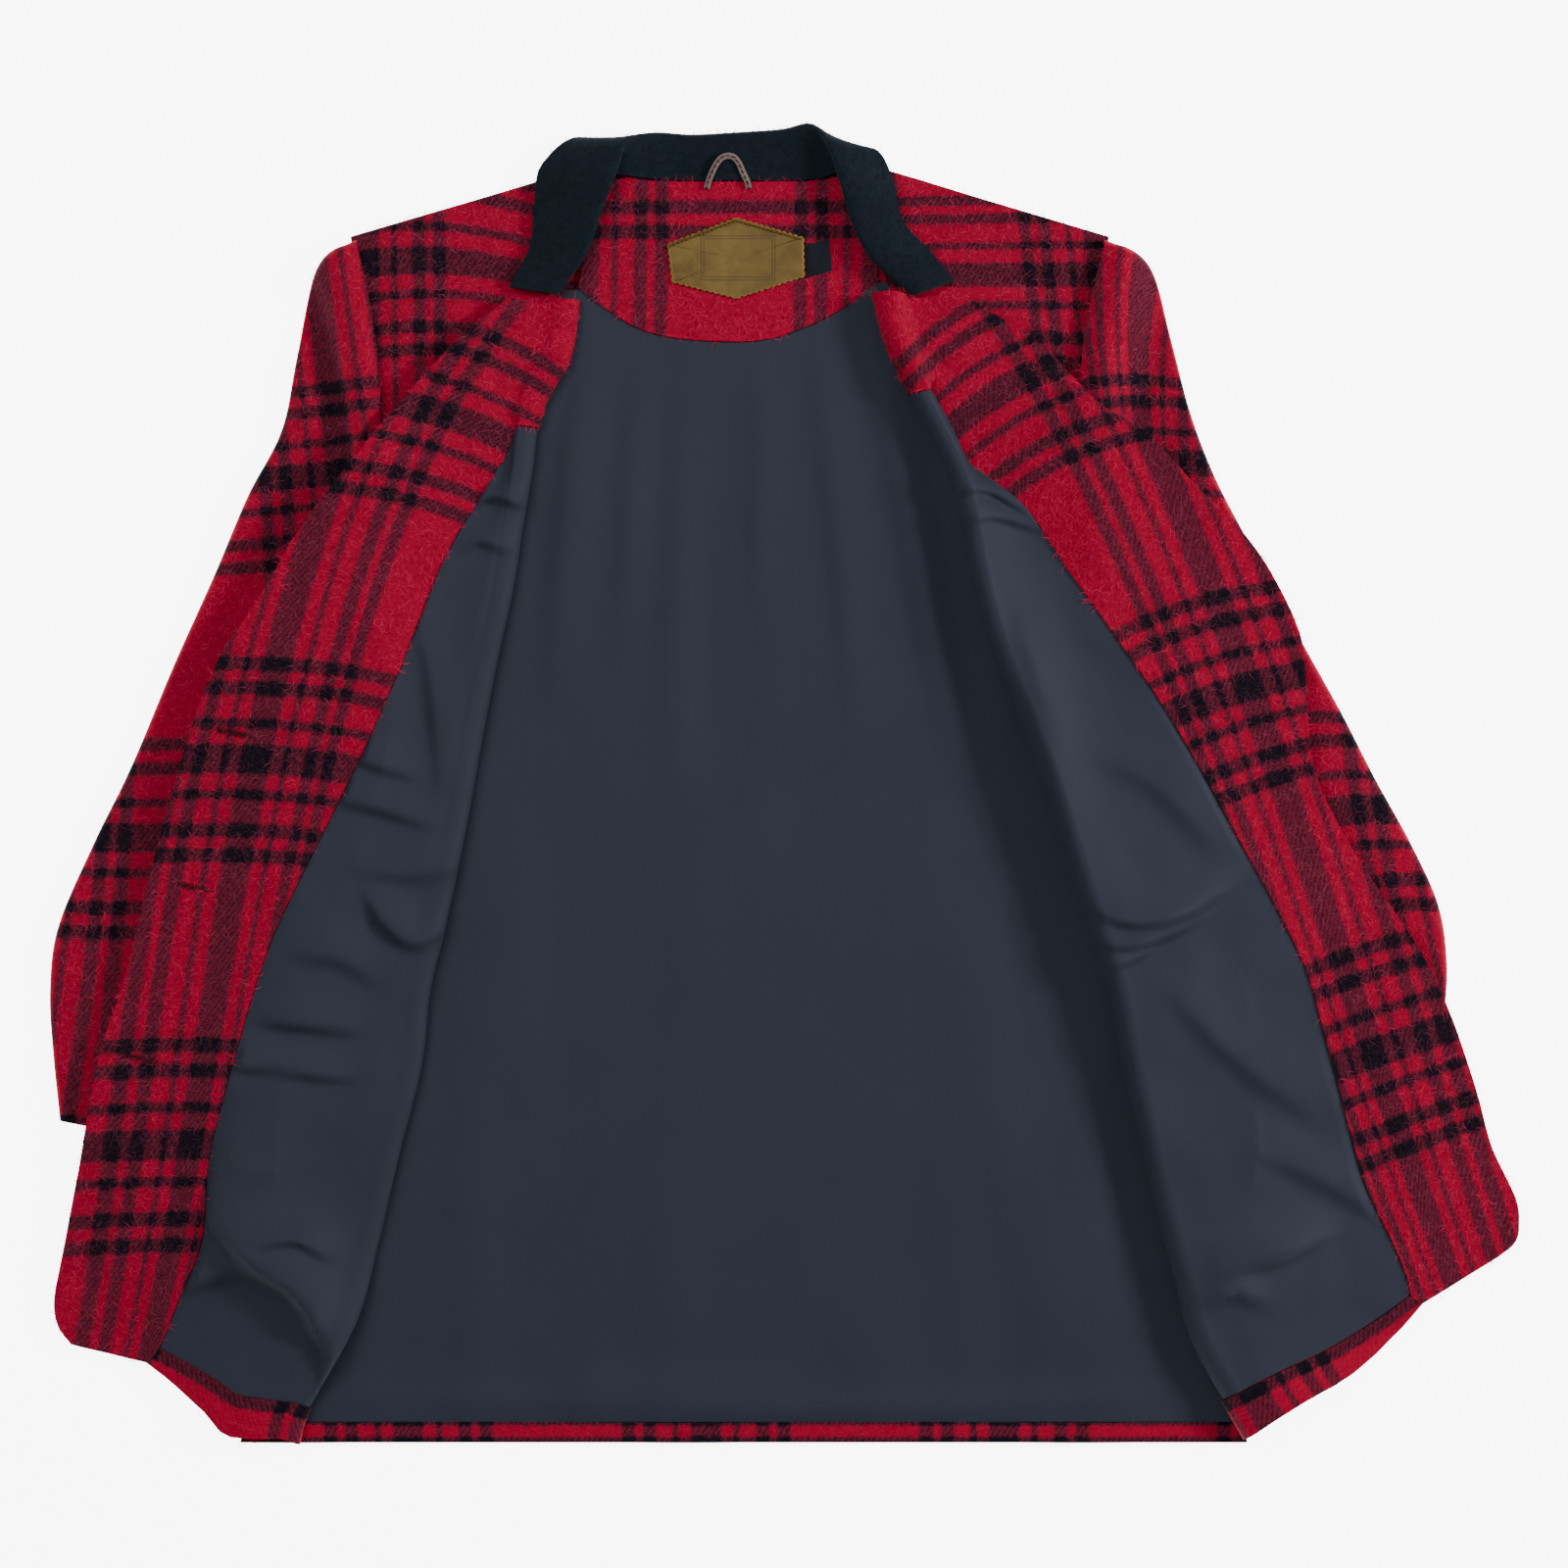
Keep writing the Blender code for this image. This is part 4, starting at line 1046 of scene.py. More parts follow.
# %% [markdown]
# ## Threads and fibres from Geometry Nodes
#
# Stitches and fibres repeat by the thousand, so two Geometry Nodes trees place them. One follows a line: it
# walks along it in even steps and puts a thread across or along the line at each. The other follows a
# surface: it scatters points by area, stands a short bent fibre on each and turns it at random. The points
# keep the cloth's coordinates from the surface, so that every fibre takes the colour of the yarn that it
# comes from.

# %% Stitch and fibre trees
def geometry_tree(name, inputs):
    tree = bpy.data.node_groups.new(name, "GeometryNodeTree")
    tree.interface.new_socket("Geometry", in_out="INPUT", socket_type="NodeSocketGeometry")
    for label, kind in inputs:
        tree.interface.new_socket(label, in_out="INPUT", socket_type=kind)
    tree.interface.new_socket("Geometry", in_out="OUTPUT", socket_type="NodeSocketGeometry")
    given = tree.nodes.new("NodeGroupInput").outputs
    return tree, given, tree.nodes.new("NodeGroupOutput").inputs["Geometry"]


def random_number(tree, low, high, seed):
    return node(tree, "FunctionNodeRandomValue", {"data_type": "FLOAT"}, _2=low, _3=high, _8=seed).outputs[1]


def put_down(tree, placed, finish, result):
    """Every tree ends in real geometry with its material."""
    real = node(tree, "GeometryNodeRealizeInstances", _0=placed).outputs[0]
    done = node(tree, "GeometryNodeSetMaterial", _0=real, Material=finish).outputs[0]
    tree.links.new(done, result)


def build_stitches():
    """Threads placed in even steps along a line of edges."""
    tree, given, result = geometry_tree("stitches along a line", [
        ("Thread", "NodeSocketObject"), ("Spacing", "NodeSocketFloat"), ("Turn", "NodeSocketFloat"),
        ("Unevenness", "NodeSocketFloat"), ("Seed", "NodeSocketInt"), ("Finish", "NodeSocketMaterial"),
    ])
    line = node(tree, "GeometryNodeMeshToCurve", _0=given["Geometry"]).outputs[0]
    even = tree.nodes.new("GeometryNodeResampleCurve")
    even.mode = "LENGTH"
    tree.links.new(line, even.inputs["Curve"])
    tree.links.new(given["Spacing"], even.inputs["Length"])
    tangent = node(tree, "GeometryNodeInputTangent").outputs[0]
    facing = node(
        tree, "FunctionNodeAlignRotationToVector", {"axis": "X", "pivot_axis": "Z"}, Vector=tangent,
    ).outputs[0]
    thread = node(tree, "GeometryNodeObjectInfo", Object=given["Thread"]).outputs["Geometry"]
    size = random_number(tree, 0.85, 1.15, given["Seed"])
    placed = node(
        tree, "GeometryNodeInstanceOnPoints", Points=even.outputs[0], Instance=thread, Rotation=facing,
        Scale=size,
    ).outputs[0]
    least = math_node(tree, "MULTIPLY", given["Unevenness"], -1.0)
    slip = random_number(tree, least, given["Unevenness"], given["Seed"])
    turn = node(tree, "ShaderNodeCombineXYZ", Z=math_node(tree, "ADD", given["Turn"], slip)).outputs[0]
    turned = node(tree, "GeometryNodeRotateInstances", Instances=placed, Rotation=turn).outputs[0]
    put_down(tree, turned, given["Finish"], result)
    return tree


def build_nap():
    """Short bent fibres scattered over a surface."""
    tree, given, result = geometry_tree("fibres on a surface", [
        ("Fibre", "NodeSocketObject"), ("Density", "NodeSocketFloat"), ("Shortest", "NodeSocketFloat"),
        ("Longest", "NodeSocketFloat"), ("Seed", "NodeSocketInt"), ("Finish", "NodeSocketMaterial"),
    ])
    scattered = node(
        tree, "GeometryNodeDistributePointsOnFaces", Mesh=given["Geometry"], Density=given["Density"],
        Seed=given["Seed"],
    ).outputs
    fibre = node(tree, "GeometryNodeObjectInfo", Object=given["Fibre"]).outputs["Geometry"]
    size = random_number(tree, given["Shortest"], given["Longest"], given["Seed"])
    placed = node(
        tree, "GeometryNodeInstanceOnPoints", Points=scattered["Points"], Instance=fibre,
        Rotation=scattered["Rotation"], Scale=size,
    ).outputs[0]
    other = math_node(tree, "ADD", given["Seed"], 7.0)
    turn = node(tree, "ShaderNodeCombineXYZ", Z=random_number(tree, 0.0, 2 * math.pi, other)).outputs[0]
    turned = node(tree, "GeometryNodeRotateInstances", Instances=placed, Rotation=turn).outputs[0]
    shade = random_number(tree, 0.0, 1.0, math_node(tree, "ADD", given["Seed"], 19.0))
    shaded = node(
        tree, "GeometryNodeStoreNamedAttribute", {"data_type": "FLOAT", "domain": "INSTANCE"},
        Geometry=turned, Name=FIBRE_SHADE, Value=shade,
    ).outputs[0]
    put_down(tree, shaded, given["Finish"], result)
    return tree


stitch_tree, nap_tree = build_stitches(), build_nap()


def grown(name, tree, points, ends, faces, cloth=None, **values):
    """A piece made by a tree from edges or faces, with the tree's inputs set by their names."""
    piece = new_object(name, points, faces, None, cloth, ends)
    modifier = piece.modifiers.new("made", "NODES")
    modifier.node_group = tree
    sockets = {item.name: item.identifier for item in tree.interface.items_tree if item.in_out == "INPUT"}
    for label, value in values.items():
        modifier[sockets[label]] = value
    return plain_mesh(piece)


def template(name, points, faces):
    """A small shape for a tree to copy. It is removed once the trees have run."""
    return new_object(name, np.array(points), faces)


def thread_shape(name, length, radius, sides=6):
    """A thread's visible stitch: an arch that goes into the cloth at both ends."""
    points, faces = [], []
    stations = 7
    for i in range(stations):
        share = i / (stations - 1)
        fat = radius * (0.35 + 0.65 * math.sin(math.pi * share) ** 0.5)
        for j in range(sides):
            angle = 2 * math.pi * j / sides
            rise = radius * (1.6 * math.sin(math.pi * share) - 0.8)
            points.append((length * (share - 0.5), fat * math.cos(angle), rise + fat * math.sin(angle)))
    for i in range(stations - 1):
        for j in range(sides):
            following = (j + 1) % sides
            first, second = i * sides, (i + 1) * sides
            faces.append((first + j, second + j, second + following, first + following))
    faces.append(tuple(range(sides)))
    faces.append(tuple(range(len(points) - 1, len(points) - 1 - sides, -1)))
    return template(name, points, faces)


FIBRE_WIDTH = 0.24
fibre_shape = template(
    "fibre",
    [(0, -FIBRE_WIDTH / 2, -0.2), (0, FIBRE_WIDTH / 2, -0.2), (2.4, -FIBRE_WIDTH / 2, 0.8),
     (2.4, FIBRE_WIDTH / 2, 0.8), (5.2, 1.1, 0.7)],
    [(0, 2, 3, 1), (2, 4, 3)],
)
thick_thread = thread_shape("thick thread", 3.0, 0.34)
thin_thread = thread_shape("thin thread", 1.9, 0.2)
cord_thread = thread_shape("cord thread", 3.6, 0.6)
templates = [fibre_shape, thick_thread, thin_thread, cord_thread]
print("trees:", stitch_tree.name, "and", nap_tree.name)

bed = Bed()

# %% [markdown]
# ## The back
#
# The back is the largest piece, and nearly all of it is hidden under its own lining. It lies flat on the
# floor. Its upper edge follows the shoulder seams and dips at the neck, where the neck facing, a crescent
# of the same wool, is sewn on. The lining starts below the crescent, and the hem's turned edge shows under
# it.

# %% Back, neck facing and hem
# Where the middles of two wide stripes cross on the back.
BACK_CROSSING = (-29, 316)
NECK_PINS = [
    (11, 340.5, -46, -43), (21.5, 340.5, -33.5, -43), (-73.4, 340.5, -130, -43), (-83.5, 340.5, -142.5, -43),
    (11, 327, -46, -58), (21.5, 327, -33.5, -58), (-73.4, 327, -130, -58), (-83.5, 327, -142.5, -58),
    (11, 272.6, -44, -112), (-73.4, 272.6, -130, -112), (37, 295, -18, -90),
]


def side_line(shoulder, front):
    return np.concatenate([pair(shoulder, "side"), pair(front, "side")])


def laid(plan, thickness, rise=0.0, passes=0, sag=0.0):
    """A sheet's middle where it lies: its plan, with the height that it settles at on the bed."""
    found = bed.under(plan[..., 0], plan[..., 1])
    lift = np.where(found > 0, SEAM_GAP, 0) + thickness / 2
    height = relax(found + lift, passes, sag, plan) + rise
    return np.concatenate([plan, height[..., None]], axis=-1)


def body_plan(left, right, top, foot, rows, columns):
    """The plan of a body panel between two side lines, an upper edge and a hem line."""
    left_line, right_line = through(left, rows + 1), through(right, rows + 1)
    plan = between(left_line, right_line, np.linspace(0, 1, columns + 1))
    down = np.linspace(0, 1, rows + 1)
    rise = through(top, columns + 1) - plan[0]
    drop = foot - plan[-1, :, 1]
    plan += ((1 - down) ** 3)[:, None, None] * rise
    plan[..., 1] += (down ** 3)[:, None] * drop
    return plan


left_side, right_side = side_line(LEFT_SHOULDER, LEFT_FRONT), side_line(RIGHT_SHOULDER, RIGHT_FRONT)
back_grid = laid(body_plan(left_side, right_side, SHOULDER_LINE, HEM_Y, 90, 70), WOOL)
back = make_sheet("back_cloth", back_grid, WOOL, wool, back_grid[..., :2] - BACK_CROSSING)
bed.add(back_grid, WOOL / 2)

neck_edges = through(FACING_TOP, 70), through(FACING_BOTTOM, 70)
neck_plan = np.swapaxes(between(*neck_edges, np.linspace(0, 1, 30)), 0, 1)
neck_grid = laid(neck_plan, WOOL)
neck_grid[..., 2] += np.maximum(ripples(neck_grid[..., 0], neck_grid[..., 1], 30, 0.12, 3.0), -0.05)
neck_cloth = pinned(NECK_PINS, 1, 1)(neck_grid[..., 0], neck_grid[..., 1])
neck_facing = make_sheet("neck_facing_cloth", neck_grid, WOOL, wool, neck_cloth)
napped = [("neck_facing", neck_grid, WOOL, neck_cloth, None)]

HEM_WAVE = 0.5
hem_x = np.linspace(left_side[-1, 0] + 3, right_side[-1, 0] - 3, 180)
hem_lines = [
    np.stack([hem_x, level + HEM_WAVE * np.sin(hem_x / 37)], axis=-1)
    for level in (LINING_END_Y - SEAM_GAP, HEM_Y + 0.6)
]
hem_grid = laid(np.swapaxes(between(*hem_lines, np.linspace(0, 1, 8)), 0, 1), WOOL)
hem_cloth = np.stack([hem_grid[..., 0] + 46, hem_grid[..., 1] + 390 - 58], axis=-1)
back_hem = make_sheet("back_hem_cloth", hem_grid, WOOL, wool, hem_cloth)
print("back:", back_grid.shape[:2], "points, neck facing:", neck_grid.shape[:2])

# %% [markdown]
# ## The back lining
#
# The lining is cut a little wider than the back, so that the wearer can move, and the spare width lies in
# long soft ripples that start at the neck seam and fade towards the hem. It also bags a little over the
# hem.

# %% Back lining
LINING_TOP = [
    (-236, 258), (-180, 280), (-121, 292.4), (-105, 280.4), (-85, 268.4), (-58, 262.4), (-17, 261.4),
    (12, 269.4), (36, 281.4), (56, 296.4), (115, 282), (172, 258),
]
BACK_LINING_INSET = 8.0
BACK_FOLDS = [
    (3.6, 14, 9, [(-110, 272), (-124, 190), (-138, 40)]),
    (2.6, 12, 8, [(-84, 270), (-90, 180), (-96, 60)]),
    (3.0, 16, 10, [(-58, 266), (-62, 150), (-66, -10)]),
    (2.0, 12, 8, [(-14, 264), (-14, 180), (-16, 90)]),
    (3.0, 14, 9, [(20, 268), (30, 170), (44, 20)]),
    (3.6, 13, 9, [(52, 272), (74, 160), (108, -20)]),
    (2.0, 26, 18, [(-168, -40), (-176, -180), (-186, -340)]),
    (2.4, 26, 18, [(100, -60), (128, -200), (160, -350)]),
    (1.6, 34, 26, [(-60, -60), (-70, -200), (-80, -340)]),
    (2.2, 9, 7, [(-280, -362), (-120, -367), (60, -369), (250, -362)]),
    (1.4, 9, 9, [(-160, -352), (-60, -356), (20, -351)]),
]
lining_sides = left_side[3:] + [BACK_LINING_INSET, -2], right_side[3:] - [BACK_LINING_INSET, 2]
lining_plan = body_plan(*lining_sides, LINING_TOP, LINING_END_Y, 130, 120)
back_x, back_y = lining_plan[..., 0], lining_plan[..., 1]
lining_rise = fold_heights(BACK_FOLDS, back_x, back_y) + ripples(back_x, back_y, 40, 0.9, 1.0, (1, 0.2))
lining_grid = laid(lining_plan, LINING, np.maximum(lining_rise, -0.1))
back_lining = make_sheet("back_lining_cloth", lining_grid, LINING, satin, lining_plan)
bed.add(neck_grid, WOOL / 2)
bed.add(hem_grid, WOOL / 2)
bed.add(lining_grid, LINING / 2)
place(back, "back", "wool_plaid", 0.60, 0.76, "laid", "floor", 0.41)
place(neck_facing, "neck_facing", "wool_plaid", 0.18, 0.10, "laid", "back_cloth", 0.0136)
place(back_hem, "back_hem", "wool_plaid", 0.59, 0.014, "laid", "back_cloth", None)
place(back_lining, "back_lining", "lining", 0.60, 0.68, "laid", "back_cloth", 0.35)
print("the back lining stands", round(float(lining_grid[..., 2].max()), 1), "mm high")

# %% [markdown]
# ## The fronts' under layers
#
# Each front is one piece of cloth that doubles back on itself. The layer that lies face up on the back
# comes first. Only the shoulder of it shows, but the sleeves and the turned layer lie on it, so its height
# matters. The shoulder pad lifts it near the armhole.

# %% Under layers
SHOULDER_PAD = 4.0
PAD_REACH = 60.0
ROLL_REACH = 8.0
ROW_SPACING = 3.6
UNDER_COLUMNS = 30


def inwards(front):
    return unit(pair(front, "fold") - pair(front, "edge"))


def under_layer(shoulder, front, rows):
    foot = pair(front, "fold") - ROLL_REACH * inwards(front)
    inner = np.concatenate([pair(shoulder, "neck"), foot])
    sides = rows_at(side_line(shoulder, front), rows), rows_at(inner, rows)
    plan = between(*sides, np.linspace(0, 1, UNDER_COLUMNS + 1))
    tip = pair(shoulder, "side")[0]
    near = np.hypot(plan[..., 0] - tip[0], plan[..., 1] - tip[1])
    soft = 0.4 + ripples(plan[..., 0], plan[..., 1], 55, 0.4, 5.0)
    return laid(plan, WOOL, SHOULDER_PAD * np.exp(-((near / PAD_REACH) ** 2)) + soft, 12)


def front_rows(front):
    """Fractional rows for a front, even along its edge: the shoulder's, and then the rest from row 2."""
    shoulder_rows = np.linspace(0, 2, 22)[:-1]
    return shoulder_rows, even_rows(pair(front, "edge"), ROW_SPACING)


left_shoulder_rows, left_rows = front_rows(LEFT_FRONT)
right_shoulder_rows, right_rows = front_rows(RIGHT_FRONT)
left_under = under_layer(LEFT_SHOULDER, LEFT_FRONT, np.concatenate([left_shoulder_rows, left_rows + 2]))
right_under = under_layer(RIGHT_SHOULDER, RIGHT_FRONT, np.concatenate([right_shoulder_rows, right_rows + 2]))
bed.add(left_under, WOOL / 2)
bed.add(right_under, WOOL / 2)
print("rows:", len(left_rows), "and", len(right_rows))

# %% [markdown]
# ## The sleeves
#
# A sleeve is a tube, pressed flat by its own weight, with soft edges. Its cap is gathered to the armhole,
# which makes a rounded roll there and drag lines that run down from the shoulder. Each section is a ring:
# the under side settles on the bed, and the upper side lies a sleeve's height above it, with the folds
# added.

# %% Sleeves
SLEEVE_HEIGHT = 7.8
SLEEVE_SPACING = 4.0
SLEEVE_COLUMNS_ACROSS = 34
EDGE_ANGLES = np.radians(np.linspace(-72, 72, 7))
SEAM_REACH = 7.0
SLEEVE_PASSES = 30
SLEEVE_SAG = 0.01
CAP_SWELL = 2.4
CAP_SINK = 2.6
LEFT_SLEEVE_PINS = [
    (-274.9, 271.4, 0, 100), (-268.5, 245.9, 0, 71), (-261.6, 185, 0, 0), (-276.1, 183.9, -18, 0),
    (-292.3, 182.7, -33.5, 0), (-301.6, 181, -46, 0), (-295.5, 160.1, -33.5, -21.5),
    (-297, 141.5, -33.5, -43), (-316.7, 129.3, None, -58), (-283, 226.2, None, 58),
    (-265.6, 233.7, None, 58), (-285.9, 216.9, None, 43), (-263.3, 219.8, None, 43),
    (-283, 201.8, None, 21.5), (-366.6, 22, None, -170), (-381.6, 21.5, None, -170),
    (-353.8, 22.6, None, -170), (-369.5, 9.3, None, -185), (-375.8, -11, None, -206.5),
    (-388, -11.6, None, -206.5), (-400.2, -31.9, -142.5, -228), (-390.3, -30.2, -130, -228),
    (-368.3, -30.2, None, -228), (-400.2, -52.2, None, -249.5), (-382.8, -51, None, -249.5),
    (-407.7, -73.7, -142.5, -271), (-392.9, -73.7, -130, -271), (-408.3, -87, -142.5, -286),
    (-393.8, -88.2, -130, -286), (-410.6, -118.9, -142.5, None), (-395.6, -114.3, -130, None),
    (-415.9, -155.4, -142.5, None), (-401.4, -155.4, -130, None), (-418.2, -201.3, None, -398),
    (-406, -200.1, None, -398),
]
RIGHT_SLEEVE_PINS = [
    (210.5, 272.6, 0, 100), (207.1, 253.5, 0, 78), (207.6, 239.5, None, 58), (233.7, 234.9, None, 58),
    (205.9, 226.2, None, 43), (239.5, 224.5, None, 43), (220.4, 207.1, None, 21.5),
    (239.5, 205.9, None, 21.5), (237.8, 190.2, 33.5, 0), (246.5, 190.2, 46, 0), (226.2, 190.2, 18, 0),
    (319, 40.6, None, -170), (321.3, 26.7, None, -185), (331.2, 5.2, None, -206.5),
    (337.6, -15.1, 130, -228), (349.2, -15.1, 142.5, -228), (341.6, -36.5, None, -249.5),
    (356.7, -35.4, None, -249.5), (348, -58, 130, -271), (359.6, -58, 142.5, -271), (377, -56.8, 158, -271),
    (364.2, -70.8, None, -286), (381.6, -70.8, None, -286), (362.5, -116, 130, None),
    (374.1, -116, 142.5, None),
]
LEFT_SLEEVE_FOLDS = [
    (3.0, 14, 6, [(-276, 306), (-262, 262), (-254, 190)]),
    (-2.0, 7, 7, [(-284, 286), (-272, 240), (-262, 180)]),
    (1.8, 12, 9, [(-300, 240), (-318, 160), (-340, 100)]),
    (1.4, 18, 12, [(-372, 30), (-388, -30), (-404, -90)]),
    (1.2, 12, 9, [(-420, -110), (-410, -160), (-405, -200)]),
]
RIGHT_SLEEVE_FOLDS = [
    (3.0, 6, 14, [(214, 300), (208, 262), (196, 200)]),
    (-2.2, 7, 7, [(226, 288), (216, 250), (203, 190)]),
    (2.0, 9, 12, [(236, 262), (246, 200), (262, 150)]),
    (1.4, 12, 18, [(320, 30), (344, -20), (364, -60)]),
]


def make_sleeve(name, sleeve, body_side, folds, cloth_at):
    at = even_rows(pair(sleeve, "outer"), SLEEVE_SPACING)
    outer, inner = rows_at(pair(sleeve, "outer"), at), rows_at(pair(sleeve, "inner"), at)
    bow = rows_at(sleeve["bow"], at)
    half = SLEEVE_HEIGHT / 2
    direction = unit(inner - outer)
    across = np.linspace(0, 1, SLEEVE_COLUMNS_ACROSS + 1)
    plan = between(outer + half * direction, inner - half * direction, across)
    plan[..., 0] += body_side * bow[:, None] * 4 * across * (1 - across)
    # The first sections reach over the shoulder's edge and close the seam.
    run = np.linspace(0, 1, len(at))[:, None] * len(at) * SLEEVE_SPACING
    plan[..., 0] += body_side * SEAM_REACH * np.exp(-((run / 6) ** 2))
    wide = plan.copy()
    wide[:, 0] -= half * direction
    wide[:, -1] += half * direction
    found = bed.under(wide[..., 0], wide[..., 1])
    low = relax(found + np.where(found > 0, SEAM_GAP, 0), SLEEVE_PASSES, SLEEVE_SAG, wide)
    # The cap swells just past the armhole seam and sinks at the seam itself.
    cap = CAP_SWELL * np.exp(-(((run - 14) / 12) ** 2)) - CAP_SINK * np.exp(-((run / 4) ** 2))
    x, y = plan[..., 0], plan[..., 1]
    soft = ripples(x, y, 48, 0.7, 9.0) + fold_heights(folds, x, y)
    high = low + SLEEVE_HEIGHT + cap + np.maximum(soft, -1.6)
    under = np.concatenate([plan, low[..., None]], axis=-1)
    over = np.concatenate([plan, high[..., None]], axis=-1)

    def edge(column, outward):
        middle = (under[:, column] + over[:, column]) / 2
        rise = (over[:, column, 2] - under[:, column, 2]) / 2
        points = []
        for angle in EDGE_ANGLES:
            point = middle.copy()
            point[:, :2] += outward * half * math.cos(angle)
            point[:, 2] += rise * math.sin(angle)
            points.append(point)
        return np.stack(points, axis=1)

    ring = np.concatenate([under, edge(-1, direction), over[:, ::-1], edge(0, -direction)[:, ::-1]], axis=1)
    stations, count = ring.shape[:2]
    index = np.arange(stations * count).reshape(stations, count)
    following = np.roll(index, -1, axis=1)
    quads = np.stack([index[:-1], following[:-1], following[1:], index[1:]], axis=-1).reshape(-1, 4)
    if body_side < 0:
        quads = quads[:, ::-1]
    cloth = cloth_at(ring[..., 0], ring[..., 1]).reshape(-1, 2)
    tube = new_object(name, ring.reshape(-1, 3), quads.tolist(), wool, cloth)
    tube = wall(tube, WOOL, -1)
    tube["middle_area"] = float(quad_areas(ring.reshape(-1, 3)[quads]).sum()) * MM * MM
    napped.append((name, over, 0.0, cloth_at(over[..., 0], over[..., 1]), None))
    bed.add(np.concatenate([wide, high[..., None]], axis=-1), 0)
    return tube


left_sleeve = make_sleeve(
    "left_sleeve_cloth", LEFT_SLEEVE, 1, LEFT_SLEEVE_FOLDS, pinned(LEFT_SLEEVE_PINS, 2, 2),
)
right_sleeve = make_sleeve(
    "right_sleeve_cloth", RIGHT_SLEEVE, -1, RIGHT_SLEEVE_FOLDS, pinned(RIGHT_SLEEVE_PINS, 2, 2),
)
place(left_sleeve, "left_sleeve", "wool_plaid", 0.37, 0.58, "laid", ["floor", "left_front_cloth"], 0.155)
place(right_sleeve, "right_sleeve", "wool_plaid", 0.37, 0.60, "laid", ["floor", "right_front_cloth"], 0.16)
print("sleeves:", left_sleeve.name, "and", right_sleeve.name)

# %% [markdown]
# ## The buttons
#
# Three horn buttons are sewn to the right front's outer side. With the front turned back they lie between
# it and the sleeve, where they aren't seen, but they hold the cloth up a little. A button is turned: a
# lathe cuts its rim and its dished middle, and then four holes are drilled. Here a turned profile and a
# Boolean do the same.

# %% Buttons
BUTTONS = [(285, 48), (300, -46), (352, -136)]
BUTTON_PROFILE = [(0, 0), (9.2, 0), (10, 0.8), (10, 2.8), (9.3, 3.6), (7.6, 3.6), (6.6, 2.7), (0, 2.5)]
BUTTON_SIDES = 48
BUTTON_REACH = 10.0
BUTTON_TOP = 3.6
HOLE_RADIUS = 0.9
HOLE_SPACING = 2.6


def make_button(number, x, y, low):
    shape = bmesh.new()
    ring = [shape.verts.new((radius * MM, 0, height * MM)) for radius, height in BUTTON_PROFILE]
    rim = [shape.edges.new(two) for two in zip(ring[:-1], ring[1:])]
    bmesh.ops.spin(
        shape, geom=ring + rim, axis=(0, 0, 1), cent=(0, 0, 0), steps=BUTTON_SIDES, angle=2 * math.pi,
        use_merge=True,
    )
    bmesh.ops.remove_doubles(shape, verts=shape.verts, dist=1e-6)
    bmesh.ops.recalc_face_normals(shape, faces=shape.faces)
    mesh = bpy.data.meshes.new(f"button_{number}_horn")
    shape.to_mesh(mesh)
    shape.free()
    mesh.materials.append(horn)
    drill = bmesh.new()
    for across, down in ((-1, -1), (-1, 1), (1, -1), (1, 1)):
        made = bmesh.ops.create_cone(
            drill, cap_ends=True, segments=16, radius1=HOLE_RADIUS * MM, radius2=HOLE_RADIUS * MM, depth=0.02,
        )
        shift = (across * HOLE_SPACING / 2 * MM, down * HOLE_SPACING / 2 * MM, 0)
        bmesh.ops.translate(drill, verts=made["verts"], vec=shift)
    holes = bpy.data.meshes.new("holes")
    drill.to_mesh(holes)
    drill.free()
    cutter = linked("holes", holes)
    button = linked(mesh.name, mesh)
    cut = button.modifiers.new("holes", "BOOLEAN")
    cut.operation = "DIFFERENCE"
    cut.object = cutter
    applied(button)
    bpy.data.objects.remove(cutter)
    button.data.transform(Matrix.Translation((x * MM, y * MM, low * MM)))
    return button


for number, (x, y) in enumerate(BUTTONS, 1):
    reach = np.linspace(-BUTTON_REACH, BUTTON_REACH, 5)
    plan = np.stack(np.meshgrid(x + reach, y + reach), axis=-1)
    low = bed.under(plan[..., 0], plan[..., 1]).max() + SEAM_GAP
    button = make_button(number, x, y, low)
    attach(button, "root")
    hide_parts(f"button_{number}")
    bed.add(np.concatenate([plan, np.full(plan.shape[:2] + (1,), low + BUTTON_TOP)], axis=-1), 0)
print("buttons:", len(BUTTONS))

# %% [markdown]
# ## Turning the fronts back
#
# Now each front rolls over at its inner fold and lies down again, over its own sleeve. The roll is half an
# ellipse in section. The turned layer relaxes over the sleeve, its heights held at the roll. The facing,
# the lining and the hem's turning lie on it, made from its own points moved outwards, so that they can't
# cross it.

# %% Turned fronts
TURNED_PASSES = 900
TURNED_SAG = 0.0008
LEFT_ROLL_HEIGHT = 9.0
RIGHT_ROLL_HEIGHT = 21.5
ROLL_COLUMNS = 12
LINING_COLUMNS_ACROSS = 46
FACING_COLUMNS_ACROSS = 40
HEM_ROWS_FROM_END = 1.0
HEM_BAND = -55.0
